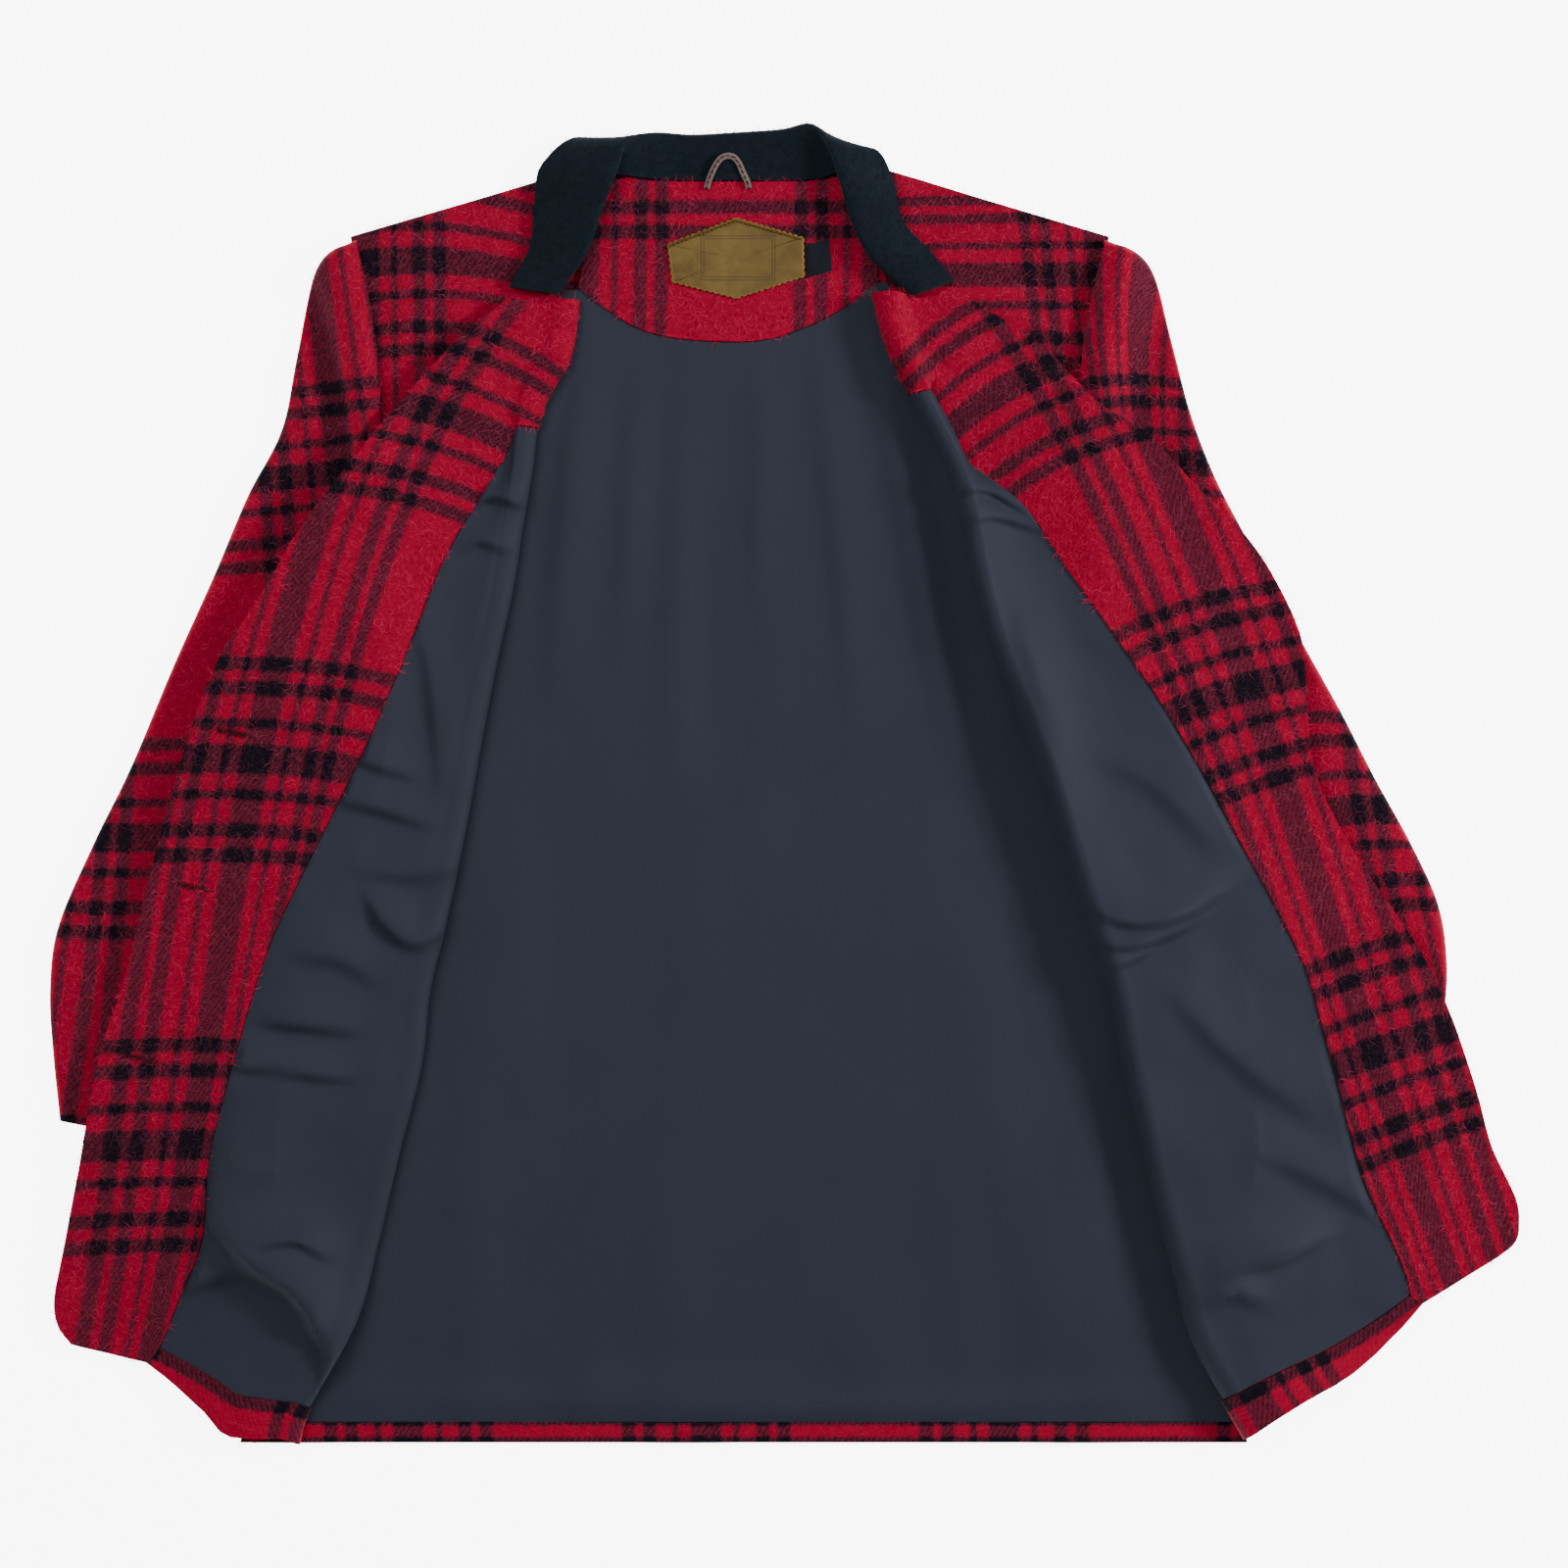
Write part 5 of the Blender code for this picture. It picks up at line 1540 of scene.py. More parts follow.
# How far each hem hangs past a straight line, at these shares of the way from the roll to the facing.
HEM_SHARES = [0.0, 0.12, 0.25, 0.37, 0.45, 0.57, 0.72, 0.86, 1.0]
HEM_DROPS = {
    "left": [0.0, 5.6, 11.0, 15.5, 16.0, 9.5, 5.5, 2.4, 0.0],
    "right": [0.0, 1.0, 3.0, 5.5, 7.5, 9.0, 8.0, 5.0, 0.0],
}
LEFT_FLAP = [
    (-343, -243), (-325, -268), (-309, -285), (-289, -299), (-276, -317), (-268, -335), (-269, -350),
]
LEFT_FOLDS = [
    (4.0, 26, 7, LEFT_FLAP),
    (1.5, 14, 8, [(-246, -64), (-228, -80), (-210, -86)]),
]
RIGHT_FOLDS = [
    (1.5, 12, 8, [(180, -68), (209, -66), (240, -52)]),
    (-2.0, 20, 20, [(214, -190), (250, -170), (296, -130)]),
    (1.5, 12, 8, [(256, -286), (272, -270), (318, -270)]),
]
LEFT_CREASES = [
    (12.2, 30, 2.9, LEFT_FLAP + [(-280, -367)]),
    (6.1, 14, 2.9, [(-305, -270), (-287, -268), (-267, -278)]),
    (5.4, 14, 5.1, [(-362, -300), (-339, -290), (-316, -288)]),
    (6.2, 16, 2.6, [(-245, -65), (-234, -83), (-218, -93), (-196, -84)]),
    (4.1, 16, 5.1, [(-287, -99), (-261, -103), (-239, -116)]),
    (5.7, 16, 3.4, [(-307, -139), (-284, -141), (-254, -144)]),
    (4.6, 12, 3.4, [(-332, -161), (-314, -166), (-295, -164)]),
    (4.6, 14, 3.4, [(-300, -168), (-280, -170), (-254, -173)]),
    (4.1, 12, 3.4, [(-261, 21), (-241, 12), (-217, 5)]),
    (4.6, 14, 3.8, [(-267, -7), (-241, -13), (-209, -23)]),
    (3.5, 18, 6.0, [(-254, -48), (-220, -52), (-186, -46)]),
    (4.1, 14, 6.0, [(-216, 110), (-206, 58), (-200, -6)]),
    (4.9, 9, 2.9, [(-184, 165), (-171, 170), (-153, 164)]),
    (4.1, 10, 3.4, [(-190, 138), (-179, 144), (-162, 138)]),
]
RIGHT_CREASES = [
    (6.1, 10, 2.9, [(99, 171), (118, 174), (144, 161)]),
    (4.6, 10, 2.9, [(106, 153), (123, 158), (151, 151)]),
    (7.6, 20, 3.4, [(174, -68), (202, -80), (232, -76), (263, -58)]),
    (6.2, 12, 2.9, [(176, -93), (203, -94), (227, -87), (247, -77)]),
    (4.3, 8, 2.6, [(180, -109), (197, -105), (218, -96)]),
    (7.6, 18, 3.4, [(252, -290), (271, -283), (293, -277), (321, -264)]),
    (5.7, 12, 2.9, [(248, -306), (264, -300), (282, -304)]),
    (4.1, 10, 18.7, [(177, -58), (154, 41), (136, 128)]),
    (4.1, 26, 8.5, [(181, 21), (220, 0), (259, -38)]),
    (4.9, 26, 8.5, [(223, -113), (267, -160), (317, -196)]),
    (3.8, 20, 6.8, [(280, -216), (319, -233), (356, -256)]),
]
LEFT_SHOULDER_PINS = [
    (-247.9, 306.8, 0, 0), (-232.6, 308.6, 18, 0), (-215.2, 309.4, 33.5, 0), (-203, 308.9, 46, 0),
    (-169.9, 304.7, None, 0), (-215.2, 329.7, 33.5, 21.5), (-203, 329.4, 46, 21.5),
    (-157.2, 322.5, None, 21.5), (-169.9, 343.9, None, 43), (-150.8, 353.8, None, 58),
    (-215.2, 290, 33.5, -21.5), (-203, 290, 46, -21.5), (-244.2, 266.8, 0, -43), (-232.6, 269.5, 18, -43),
    (-215.2, 269.7, 33.5, -43), (-203, 269.5, 46, -43), (-243, 254.3, 0, -58), (-232.6, 255.8, 18, -58),
    (-215.2, 256.9, 33.5, -58), (-203, 256.9, 46, -58),
]
RIGHT_SHOULDER_PINS = [
    (74.2, 344.7, None, 58), (101.5, 344.7, None, 58), (74.2, 332.3, None, 43), (108.5, 334.3, None, 43),
    (143.3, 333.5, None, 43), (87.6, 317.3, None, 21.5), (115.4, 319, None, 21.5),
    (144.4, 317.8, -46, 21.5), (155.4, 317.3, -33.5, 21.5), (170.5, 317.3, -18, 21.5),
    (108.5, 300.4, None, 0), (129.3, 303.3, None, 0), (145, 300.4, -46, 0), (154.9, 300.4, -33.5, 0),
    (185.6, 303.3, 0, 0), (132.2, 282.5, None, -21.5), (151.4, 281.9, None, -21.5),
    (170.5, 281.9, None, -21.5), (147.3, 264.5, -46, -43), (160.7, 263.3, -33.5, -43),
    (174.6, 262.7, -18, -43), (166.5, 249.4, -33.5, -58), (174.6, 248.2, -18, -58),
]
LEFT_FACING_PINS = [
    (-328.5, 70.4, -33.5, 58), (-314.9, 70.4, -18, 58), (-296.4, 67.9, 0, 58), (-279.6, 67.3, 18, 58),
    (-261.6, 66.4, 33.5, 58), (-250.6, 65.5, 46, 58), (-335.8, 56.8, -33.5, 43), (-316.7, 56.8, -18, 43),
    (-300.4, 55.1, 0, 43), (-284.2, 54.5, 18, 43), (-266.2, 51.9, 33.5, 43), (-254.6, 51, 46, 43),
    (-339, 36, -33.5, 21.5), (-302.2, 33.3, 0, 21.5), (-343.9, 13.3, -33.5, 0), (-324.5, 15.1, -18, 0),
    (-308.6, 13.3, 0, 0), (-274.5, 11.6, 33.5, 0), (-262.4, 11.6, 46, 0), (-353.5, -25.5, -33.5, -43),
    (-335.8, -27.8, -18, -43), (-318, -26.1, 0, -43), (-300.4, -27.8, 18, -43), (-287.4, -27.8, 33.5, -43),
    (-359.9, -39.1, -33.5, -58), (-342.2, -40, -18, -58), (-324.5, -39.1, 0, -58), (-294.1, -40, 33.5, -58),
    (-274.3, 153.7, 0, None), (-295.8, 74.2, 0, None), (-327.7, -59.2, 0, None), (-339.3, -143.3, 0, None),
    (-349.7, -213.4, 0, None), (-367.7, -300.4, 0, None), (-245.3, 145.6, 33.5, None),
    (-234.9, 137.5, 46, None), (-386.9, -154.3, -46, -170), (-374.7, -154.3, -33.5, -170),
    (-357.9, -154.3, -18, -170), (-342.2, -153.1, 0, -170), (-390.3, -171.1, -46, -185),
    (-377.2, -169.9, -33.5, -185), (-344.5, -168.8, 0, -185), (-391.7, -213.4, -46, -228),
    (-380.9, -213.4, -33.5, -228), (-365.2, -213.4, -18, -228), (-350.3, -213.4, 0, -228),
    (-399, -258.1, -46, -271), (-388, -258.1, -33.5, -271), (-371.2, -256.9, -18, -271),
    (-356.7, -256.9, 0, -271), (-402.5, -273.8, -46, -286), (-390.5, -272.6, -33.5, -286),
    (-373.5, -272.6, -18, -286), (-359, -272.6, 0, -286), (-409.2, -300.4, -46, None),
    (-397.9, -300.4, -33.5, None), (-382.2, -300.4, -18, None), (-367.7, -300.4, 0, None),
    (-181, 265.6, 33.5, 286), (-169.9, 263.9, 46, 286), (-138.2, 247.4, 82, 286),
    (-188.5, 255.2, 33.5, 271), (-178.1, 252.3, 46, 271), (-163.6, 244.8, None, 271),
    (-144.4, 234.9, 84, 271), (-199.5, 238.4, 33.5, 249.5), (-189.7, 234.9, 46, 249.5),
    (-169.9, 226.2, None, 249.5), (-149.6, 215.8, 90, 249.5), (-211.1, 218.1, 33.5, 228),
    (-199.5, 214.6, 46, 228), (-220.4, 221, 24, 228), (-182.1, 212.3, None, 228),
    (-163.6, 203, 84, 228), (-220.4, 201.8, 33.5, 206.5), (-208.8, 198.9, 46, 206.5),
    (-232.6, 206.5, 20.5, 206.5), (-194.9, 193.1, None, 206.5), (-174.6, 184.4, 83, 206.5),
    (-230.8, 185, 33.5, 185), (-220.4, 182.1, 46, 185), (-245.3, 188.5, 18.6, 185),
    (-207.6, 176.9, None, 185), (-187.3, 169.4, 81, 185), (-237.2, 171.7, 33.5, 170),
    (-227.4, 169.4, 46, 170), (-249.4, 174, 21, 170), (-214, 166.5, None, 170),
    (-191.4, 160.4, 83, 170), (-405.1, -281.1, -46, None), (-413, -330, -46, -342),
    (-393.9, -281.1, -33.5, None), (-400.8, -330, -33.5, -342), (-378.3, -281.1, -18, None),
    (-387.4, -336.4, -18, -348), (-362.7, -283, 0, None), (-376.1, -339.1, 0, -351),
]
RIGHT_FACING_PINS = [
    (74.2, 256.4, -92, 286), (94.5, 272.9, -66.4, 286), (112.5, 282.5, -46, 286), (76.6, 245.3, -99.5, 271),
    (101.5, 263.3, -68.6, 271), (121.2, 274.3, -46, 271), (90.5, 223.3, -99, 249.5),
    (108.5, 238.4, -75.8, 249.5), (132.2, 256.4, -46, 249.5), (101.5, 210.5, -96, 228),
    (119.5, 225.9, -72.5, 228), (141.5, 240.7, -46, 228), (154.3, 245.3, -33.5, 228),
    (114.3, 195.5, -96.5, 206.5), (134.6, 209.4, -71.8, 206.5), (155.4, 224.5, -46, 206.5),
    (129.3, 180.4, -89.6, 185), (148.5, 194.3, -66, 185), (166.5, 203.6, -46, 185),
    (174.6, 206.5, -33.5, 185), (191.4, 214.6, -14.8, 185), (141.5, 170.5, -85, 170),
    (156.6, 183.3, -65.7, 170), (174.6, 191.4, -46, 170), (184.4, 195.5, -33.5, 170),
    (198.4, 203.6, -17.4, 170), (209.4, 206.5, -6, 170), (210.5, 96.9, -46, 58), (222.1, 99.8, -33.5, 58),
    (239.5, 104.4, -18, 58), (255.2, 110.2, 0, 58), (270.9, 111.4, 18, 58), (285.9, 117.2, 33.5, 58),
    (217.5, 84.1, -46, 43), (227.9, 88.2, -33.5, 43), (243.6, 91.6, -18, 43), (259.8, 96.9, 0, 43),
    (291.7, 103.2, 33.5, 43), (222.1, 63.8, -46, 21.5), (236.1, 67.9, -33.5, 21.5), (265.1, 76.6, 0, 21.5),
    (297.5, 82.9, 33.5, 21.5), (230.8, 46.4, -46, 0), (243.6, 50.5, -33.5, 0), (274.3, 58, 0, 0),
    (299.9, 63.8, 33.5, 0), (239.5, 30.2, None, -21.5), (278.4, 37.7, 0, -21.5), (301.6, 40.6, None, -21.5),
    (245.6, 8.7, -46, -43), (280.7, 16.2, 0, -43), (306.2, 20.3, None, -43), (253.2, -7.5, -46, -58),
    (273.2, -2.3, None, -58), (288.3, 1.2, 0, -58), (313.8, 9.9, None, -58), (312.6, -110.8, None, -170),
    (334.1, -103.2, 0, -170), (353.8, -93.4, None, -170), (366.6, -88.2, None, -170),
    (316.1, -128.8, None, -185), (338.7, -118.3, 0, -185), (361.6, -108.5, None, -185),
    (379.3, -103.2, None, -185), (323.6, -146.2, None, -206.5), (351.5, -136.3, None, -206.5),
    (384.5, -123.5, None, -206.5), (331.2, -168.8, None, -228), (350.3, -157.8, 0, -228),
    (378.2, -146.2, 33.5, -228), (390.3, -140.9, 46, -228), (334.1, -183.9, None, -249.5),
    (371.8, -168.8, None, -249.5), (396.7, -164.1, None, -249.5), (341.6, -210.5, None, -271),
    (361.6, -200.7, 0, -271), (396.7, -187.9, None, -271), (343.9, -222.1, None, -286),
    (366.6, -215.8, None, -286), (401.9, -203, None, -286), (372.9, -230.3, 0, None),
    (392.7, -285.9, 0, -358), (355, -227.9, -18, None), (384.5, -295.8, -18, -369),
    (381.6, -226.2, 18, None), (404.3, -285.9, 18, -364), (400.2, -230.3, 33.5, None),
    (415.9, -272.6, 33.5, -356), (410.1, -232, 46, None), (427.5, -270.9, 46, -359),
]


def turned_layer(side, front, under, rows, folds, roll_height, seed, opening):
    """The roll and the turned layer's middle, and the columns where its parts start."""
    inward = unit(rows_at(pair(front, "fold"), rows) - rows_at(pair(front, "edge"), rows))
    fold, seam, edge = (rows_at(pair(front, name), rows) for name in ("fold", "seam", "edge"))
    start = fold - ROLL_REACH * inward
    # The lining starts as a point at the roll's edge, and the facing covers everything above that.
    share = np.interp(rows, [opening[0] - 0.3, opening[0], opening[1]], [1, 0, 1])[:, None]
    seam = seam * share + (start + 1.2 * unit(seam - start)) * (1 - share)
    across = np.linspace(0, 1, LINING_COLUMNS_ACROSS + 1)
    lining_plan = between(start, seam, across)
    # The last rows bow past the straight line, because the hem hangs fuller between the roll and the facing.
    low_rows = smooth_step((rows - rows[-1] + 2.2) / 2.2)
    lining_plan[..., 1] -= low_rows[:, None] * np.interp(across, HEM_SHARES, HEM_DROPS[side])[None]
    facing_plan = between(seam, edge, np.linspace(0, 1, FACING_COLUMNS_ACROSS + 1))
    plan = np.concatenate([lining_plan, facing_plan[:, 1:]], axis=1)
    count = len(rows)
    found = bed.under(plan[..., 0], plan[..., 1])
    height = found + np.where(found > 0, SEAM_GAP, 0) + SLOPE_ALLOWANCE * WOOL / 2
    swell = 0.55 + 0.45 * np.sin(np.linspace(0, math.pi, count))
    foot = under[-count:, -1, 2]
    height[:, 0] = np.maximum(height[:, 0], foot + roll_height * swell)
    held = np.zeros_like(height, bool)
    held[:, 0] = True
    height = relax(height, TURNED_PASSES, TURNED_SAG, plan, held)
    x, y = plan[..., 0], plan[..., 1]
    ramp = smooth_step(np.arange(plan.shape[1]) / 8)[None]
    soft = 0.9 + ripples(x, y, 52, 0.9, seed) + ripples(x, y, 19, 0.25, seed + 7)
    height = height + ramp * (np.maximum(soft, 0) + np.maximum(fold_heights(folds, x, y), -2.0))
    upper = np.concatenate([plan, height[..., None]], axis=-1)
    angle = np.linspace(-math.pi / 2, math.pi / 2, ROLL_COLUMNS + 1)[1:-1].reshape(1, -1)
    low, high = foot[:, None], height[:, :1]
    roll = np.concatenate(
        [
            start[:, None] + (ROLL_REACH * np.cos(angle))[..., None] * inward[:, None],
            ((low + high) / 2 + (high - low) / 2 * np.sin(angle))[..., None],
        ],
        axis=-1,
    )
    return np.concatenate([roll, upper], axis=1)


def finer(grid, down, across):
    """The same surface with more points, on smooth curves through the grid's own."""
    for axis, times in enumerate((down, across)):
        grid = np.moveaxis(grid, axis, 0)
        grid = rows_at(grid, np.linspace(0, len(grid) - 1, (len(grid) - 1) * times + 1))
        grid = np.moveaxis(grid, 0, axis)
    return grid


def loose_lining(grid, folds, seed):
    """A front's lining with the creases that it has of its own. They fade towards its sewn edges."""
    fine = finer(grid, 2, 2)
    rows, columns = fine.shape[:2]
    down, across = np.arange(rows)[:, None], np.arange(columns)[None]
    free = smooth_step(np.minimum(across, columns - 1 - across) / 6)
    free = free * smooth_step(np.minimum(down, rows - 1 - down) / 4)
    x, y = fine[..., 0], fine[..., 1]
    rise = fold_heights(folds, x, y) + ripples(x, y, 34, 0.35, seed, (1.0, 0.6))
    fine[..., 2] += free * np.maximum(rise, 0)
    return fine


def make_front(
    side, front, under, rows, folds, creases, roll_height, seed, opening, shoulder_cloth, facing_cloth,
    hem_start,
):
    """A front's shell with its roll, and its lining, hem and facing on the turned layer."""
    turned = turned_layer(side, front, under, rows, folds, roll_height, seed, opening)
    count = len(rows)
    missing = np.repeat(turned[:1], len(under) - count, axis=0)
    whole = np.concatenate([under, np.concatenate([missing, turned])], axis=1)
    kept = np.ones((whole.shape[0] - 1, whole.shape[1] - 1), bool)
    kept[:len(under) - count, under.shape[1] - 1:] = False
    cloth = shoulder_cloth(whole[..., 0], whole[..., 1])
    shell = make_sheet(side + "_front_cloth", whole, WOOL, wool, cloth, kept)
    napped.append((side + "_shoulder", under, WOOL, shoulder_cloth(under[..., 0], under[..., 1]), None))

    outward = grid_normals(turned)
    seam = ROLL_COLUMNS - 1 + LINING_COLUMNS_ACROSS
    lining_top = int(np.searchsorted(rows, opening[0]))
    hem_top = int(np.searchsorted(rows, len(front["edge_x"]) - 1 - HEM_ROWS_FROM_END))

    def cover(row_from, row_to, column_from, column_to, thickness):
        part = (slice(row_from, row_to), slice(column_from, column_to))
        return turned[part] + outward[part] * (WOOL / 2 + SEAM_GAP + thickness / 2)

    # These three pieces start two columns up the roll.
    first = 2
    lining = cover(lining_top, hem_top, first, seam + 1, LINING)
    lining[0] += 0.9 * unit(lining[1] - lining[0])
    lining[-1] += 0.3 * unit(lining[-2] - lining[-1])
    lining[:, -1] += 0.5 * unit(lining[:, -2] - lining[:, -1])
    lining = loose_lining(lining, creases, seed + 3)
    lining_piece = make_sheet(side + "_front_lining_cloth", lining, LINING, satin, lining[..., :2])
    hem = cover(hem_top - 1, count, first, seam + 1, WOOL)
    hem[0] += 0.3 * unit(hem[1] - hem[0])
    hem[:, -1] += 0.3 * unit(hem[:, -2] - hem[:, -1])
    down = np.cumsum(np.linalg.norm(np.diff(hem, axis=0), axis=2), axis=0)
    run = np.concatenate([np.zeros((1, hem.shape[1])), down])
    along = np.cumsum(np.linalg.norm(np.diff(hem[:1], axis=1), axis=2), axis=1)
    along = np.concatenate([[[0.0]], along], axis=1) + hem_start + 0 * run
    hem_cloth = np.stack([along, HEM_BAND - run], axis=-1)
    hem_piece = make_sheet(side + "_front_hem_cloth", hem, WOOL, wool, hem_cloth)
    facing = cover(0, count, first, turned.shape[1], WOOL)
    kept = np.zeros((facing.shape[0] - 1, facing.shape[1] - 1), bool)
    kept[:lining_top] = True
    kept[:, seam - first:] = True
    on_facing = facing_cloth(facing[..., 0], facing[..., 1])
    napped.append((side + "_facing", facing, WOOL, on_facing, kept))
    facing_piece = make_sheet(side + "_facing_cloth", facing, WOOL, wool, on_facing, kept)
    return shell, lining_piece, hem_piece, facing_piece, facing


left_pieces = make_front(
    "left", LEFT_FRONT, left_under, left_rows, LEFT_FOLDS, LEFT_CREASES, LEFT_ROLL_HEIGHT, 21.0,
    (2.3, 3.0), pinned(LEFT_SHOULDER_PINS, 1, 2), pinned(LEFT_FACING_PINS, 3, 3), 22.0,
)
right_pieces = make_front(
    "right", RIGHT_FRONT, right_under, right_rows, RIGHT_FOLDS, RIGHT_CREASES, RIGHT_ROLL_HEIGHT, 27.0,
    (2.6, 4.0), pinned(RIGHT_SHOULDER_PINS, 1, 2), pinned(RIGHT_FACING_PINS, 3, 3), -30.0,
)
for side, pieces in (("left", left_pieces), ("right", right_pieces)):
    shell, lining_piece, hem_piece, facing_piece, _ = pieces
    beneath = ["back_lining_cloth", side + "_sleeve_cloth"]
    place(shell, side + "_front", "wool_plaid", 0.38, 0.76, "folded", beneath, 0.21)
    place(lining_piece, side + "_front_lining", "lining", 0.14, 0.62, "laid", side + "_front_cloth", 0.055)
    place(hem_piece, side + "_front_hem", "wool_plaid", 0.12, 0.026, "laid", side + "_front_cloth", 0.0022)
    place(facing_piece, side + "_facing", "wool_plaid", 0.11, 0.68, "laid", side + "_front_cloth", 0.06)
print("fronts:", ", ".join(piece.name for piece in left_pieces[:4] + right_pieces[:4]))

# %% [markdown]
# ## The collar
#
# A collar is one strip that doubles over: the stand rises from the neck seam, and the leaf falls from the
# roll. Here it lies open at the back of the neck, with the stand's inner side up, and folded at the
# shoulders. Its sections run from the seam over the roll to the leaf's edge, and smooth curves join them
# round the neck.

# %% Collar
COLLAR_STATIONS = 150


def bezier(start, start_handle, end_handle, end, count):
    """Points on a cubic curve for every row at once."""
    t = np.linspace(0, 1, count).reshape(1, -1, 1)
    return (
        start[:, None] * (1 - t) ** 3 + 3 * start_handle[:, None] * t * (1 - t) ** 2
        + 3 * end_handle[:, None] * t * t * (1 - t) + end[:, None] * t ** 3
    )


def make_collar():
    at = np.linspace(0, len(COLLAR["turn"]) - 1, COLLAR_STATIONS)
    seam, roll, leaf = (
        rows_at(np.stack([COLLAR[name + axis] for axis in ("_x", "_y", "_z")], axis=-1), at)
        for name in ("seam", "roll", "leaf")
    )
    turn = np.zeros_like(roll)
    turn[:, 2] = rows_at(COLLAR["turn"], at) / 2
    stand = bezier(seam, seam + (roll - seam) * [0.6, 0.6, 0.1], roll - turn, roll, 14)
    fall = bezier(roll, roll + turn, leaf + (roll - leaf) * 0.5 + turn / 2, leaf, 18)
    profile = np.concatenate([stand, fall[:, 1:]], axis=1)
    run = run_along(roll)
    depth = np.concatenate(
        [np.zeros((len(at), 1)), np.cumsum(np.linalg.norm(np.diff(profile, axis=1), axis=2), axis=1)], axis=1,
    )
    profile[..., 2] += ripples(run[:, None] + 0 * depth, depth, 30, 1.5, 40.0, (1.0, 0.4))
    cloth = np.stack([run[:, None] + 0 * depth, depth], axis=-1)
    return make_sheet("collar_cloth", profile, COLLAR_CLOTH, felt, cloth), profile, cloth


collar, collar_grid, collar_cloth = make_collar()
place(collar, "collar", "collar_felt", 0.33, 0.052, "folded", ["back_cloth", "left_front_cloth"], None)
print("collar:", collar_grid.shape[:2], "points")

# %% [markdown]
# ## The patch, the tab and the hanger loop
#
# The suede patch is cut with pinking shears, which leave small teeth round it, and its edge is paler than
# its face because the cut shows the middle of the hide. A plain frame is pressed into it. The woven tab
# beside it is folded over and bare. The loop is a folded tape with one row of stitches along its middle.

# %% Patch, tab and loop
PATCH_CORNERS = [(-69.3, 319.3), (-28.2, 335.0), (12.0, 323.2), (12.5, 299.5), (-28.2, 286.4), (-66.4, 296.2)]
PATCH_LOW, PATCH_THICKNESS = 5.0, 1.4
TOOTH_SIZE = 3.4
TOOTH_DEPTH = 0.9
TOOTH_POINTS = 8
RIM_ANGLE = math.radians(40)


def toothed(corners):
    """A closed outline with small rounded teeth along it."""
    points = []
    corners = np.array(corners, float)
    for start, end in zip(corners, np.roll(corners, -1, axis=0)):
        run = end - start
        length = np.linalg.norm(run)
        side = np.array([run[1], -run[0]]) / length
        count = int(length / TOOTH_SIZE) * TOOTH_POINTS
        for i in range(count):
            wave = abs(math.sin(math.pi * i / TOOTH_POINTS))
            points.append(start + run * i / count + side * TOOTH_DEPTH * (1 - wave))
    return np.array(points)


def slab(name, outline, low, thickness, finish, edge_finish=None, soft=0.25):
    """A flat piece: its outline filled above and below, with soft rims and a finish for the cut edge."""
    centre = outline.mean(axis=0)
    top_at = low + thickness
    rings = [
        (1.0, low + soft), (1.0, top_at - soft), (0.992, top_at - 0.05), (0.97, top_at), (0.6, top_at + 0.12),
        (0.25, top_at + 0.16),
    ]
    count = len(outline)
    points = [
        np.append(centre + (corner - centre) * share, z)
        for share, z in [(0.985, low)] + rings for corner in outline
    ]
    faces, finishes = [], []
    for ring in range(len(rings)):
        for i in range(count):
            following = (i + 1) % count
            first, second = ring * count, (ring + 1) * count
            faces.append((first + i, first + following, second + following, second + i))
            finishes.append(1 if edge_finish and ring < 4 else 0)
    top = len(points)
    points.append(np.append(centre, top_at + 0.17))
    last = len(rings) * count
    for i in range(count):
        faces.append((last + i, last + (i + 1) % count, top))
        finishes.append(0)
    faces.append(tuple(range(count))[::-1])
    finishes.append(0)
    made = new_object(name, np.array(points), faces, finish)
    if edge_finish:
        made.data.materials.append(edge_finish)
    made.data.polygons.foreach_set("material_index", finishes)
    shape = bmesh.new()
    shape.from_mesh(made.data)
    bmesh.ops.recalc_face_normals(shape, faces=shape.faces)
    shape.to_mesh(made.data)
    shape.free()
    made.data.shade_smooth()
    made.data.set_sharp_from_angle(angle=RIM_ANGLE)
    return made


def keep(piece, node_name=None):
    """Attaches a piece that isn't a sheet of cloth to the root, and hides the node that it stands for."""
    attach(piece, "root")
    if node_name:
        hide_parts(node_name)
    print(f"{piece.name}: {len(piece.data.polygons)} faces")


patch = slab("neck_patch_suede", toothed(PATCH_CORNERS), PATCH_LOW, PATCH_THICKNESS, suede, suede_edge)
keep(patch, "neck_patch")


def stitched(name, line, thread, finish, spacing, turn=0.0, unevenness=0.12, seed=1):
    """A row of stitches along a line of points in millimetres."""
    line = np.asarray(line, float)
    ends = [(i, i + 1) for i in range(len(line) - 1)]
    return grown(
        name, stitch_tree, line, ends, [], Thread=thread, Spacing=spacing * MM, Turn=turn,
        Unevenness=unevenness, Seed=seed, Finish=finish,
    )


top_left, top_middle, top_right = (
    np.append(corner, PATCH_LOW + PATCH_THICKNESS + 0.15) for corner in PATCH_CORNERS[:3]
)
patch_line = [top_left + [2.5, -1.0, 0], top_middle + [0, -2.2, 0.1], top_right + [-2.5, -1.2, 0]]
keep(stitched("patch_stitches", patch_line, cord_thread, tan_thread, 2.6, 0.35, seed=3))

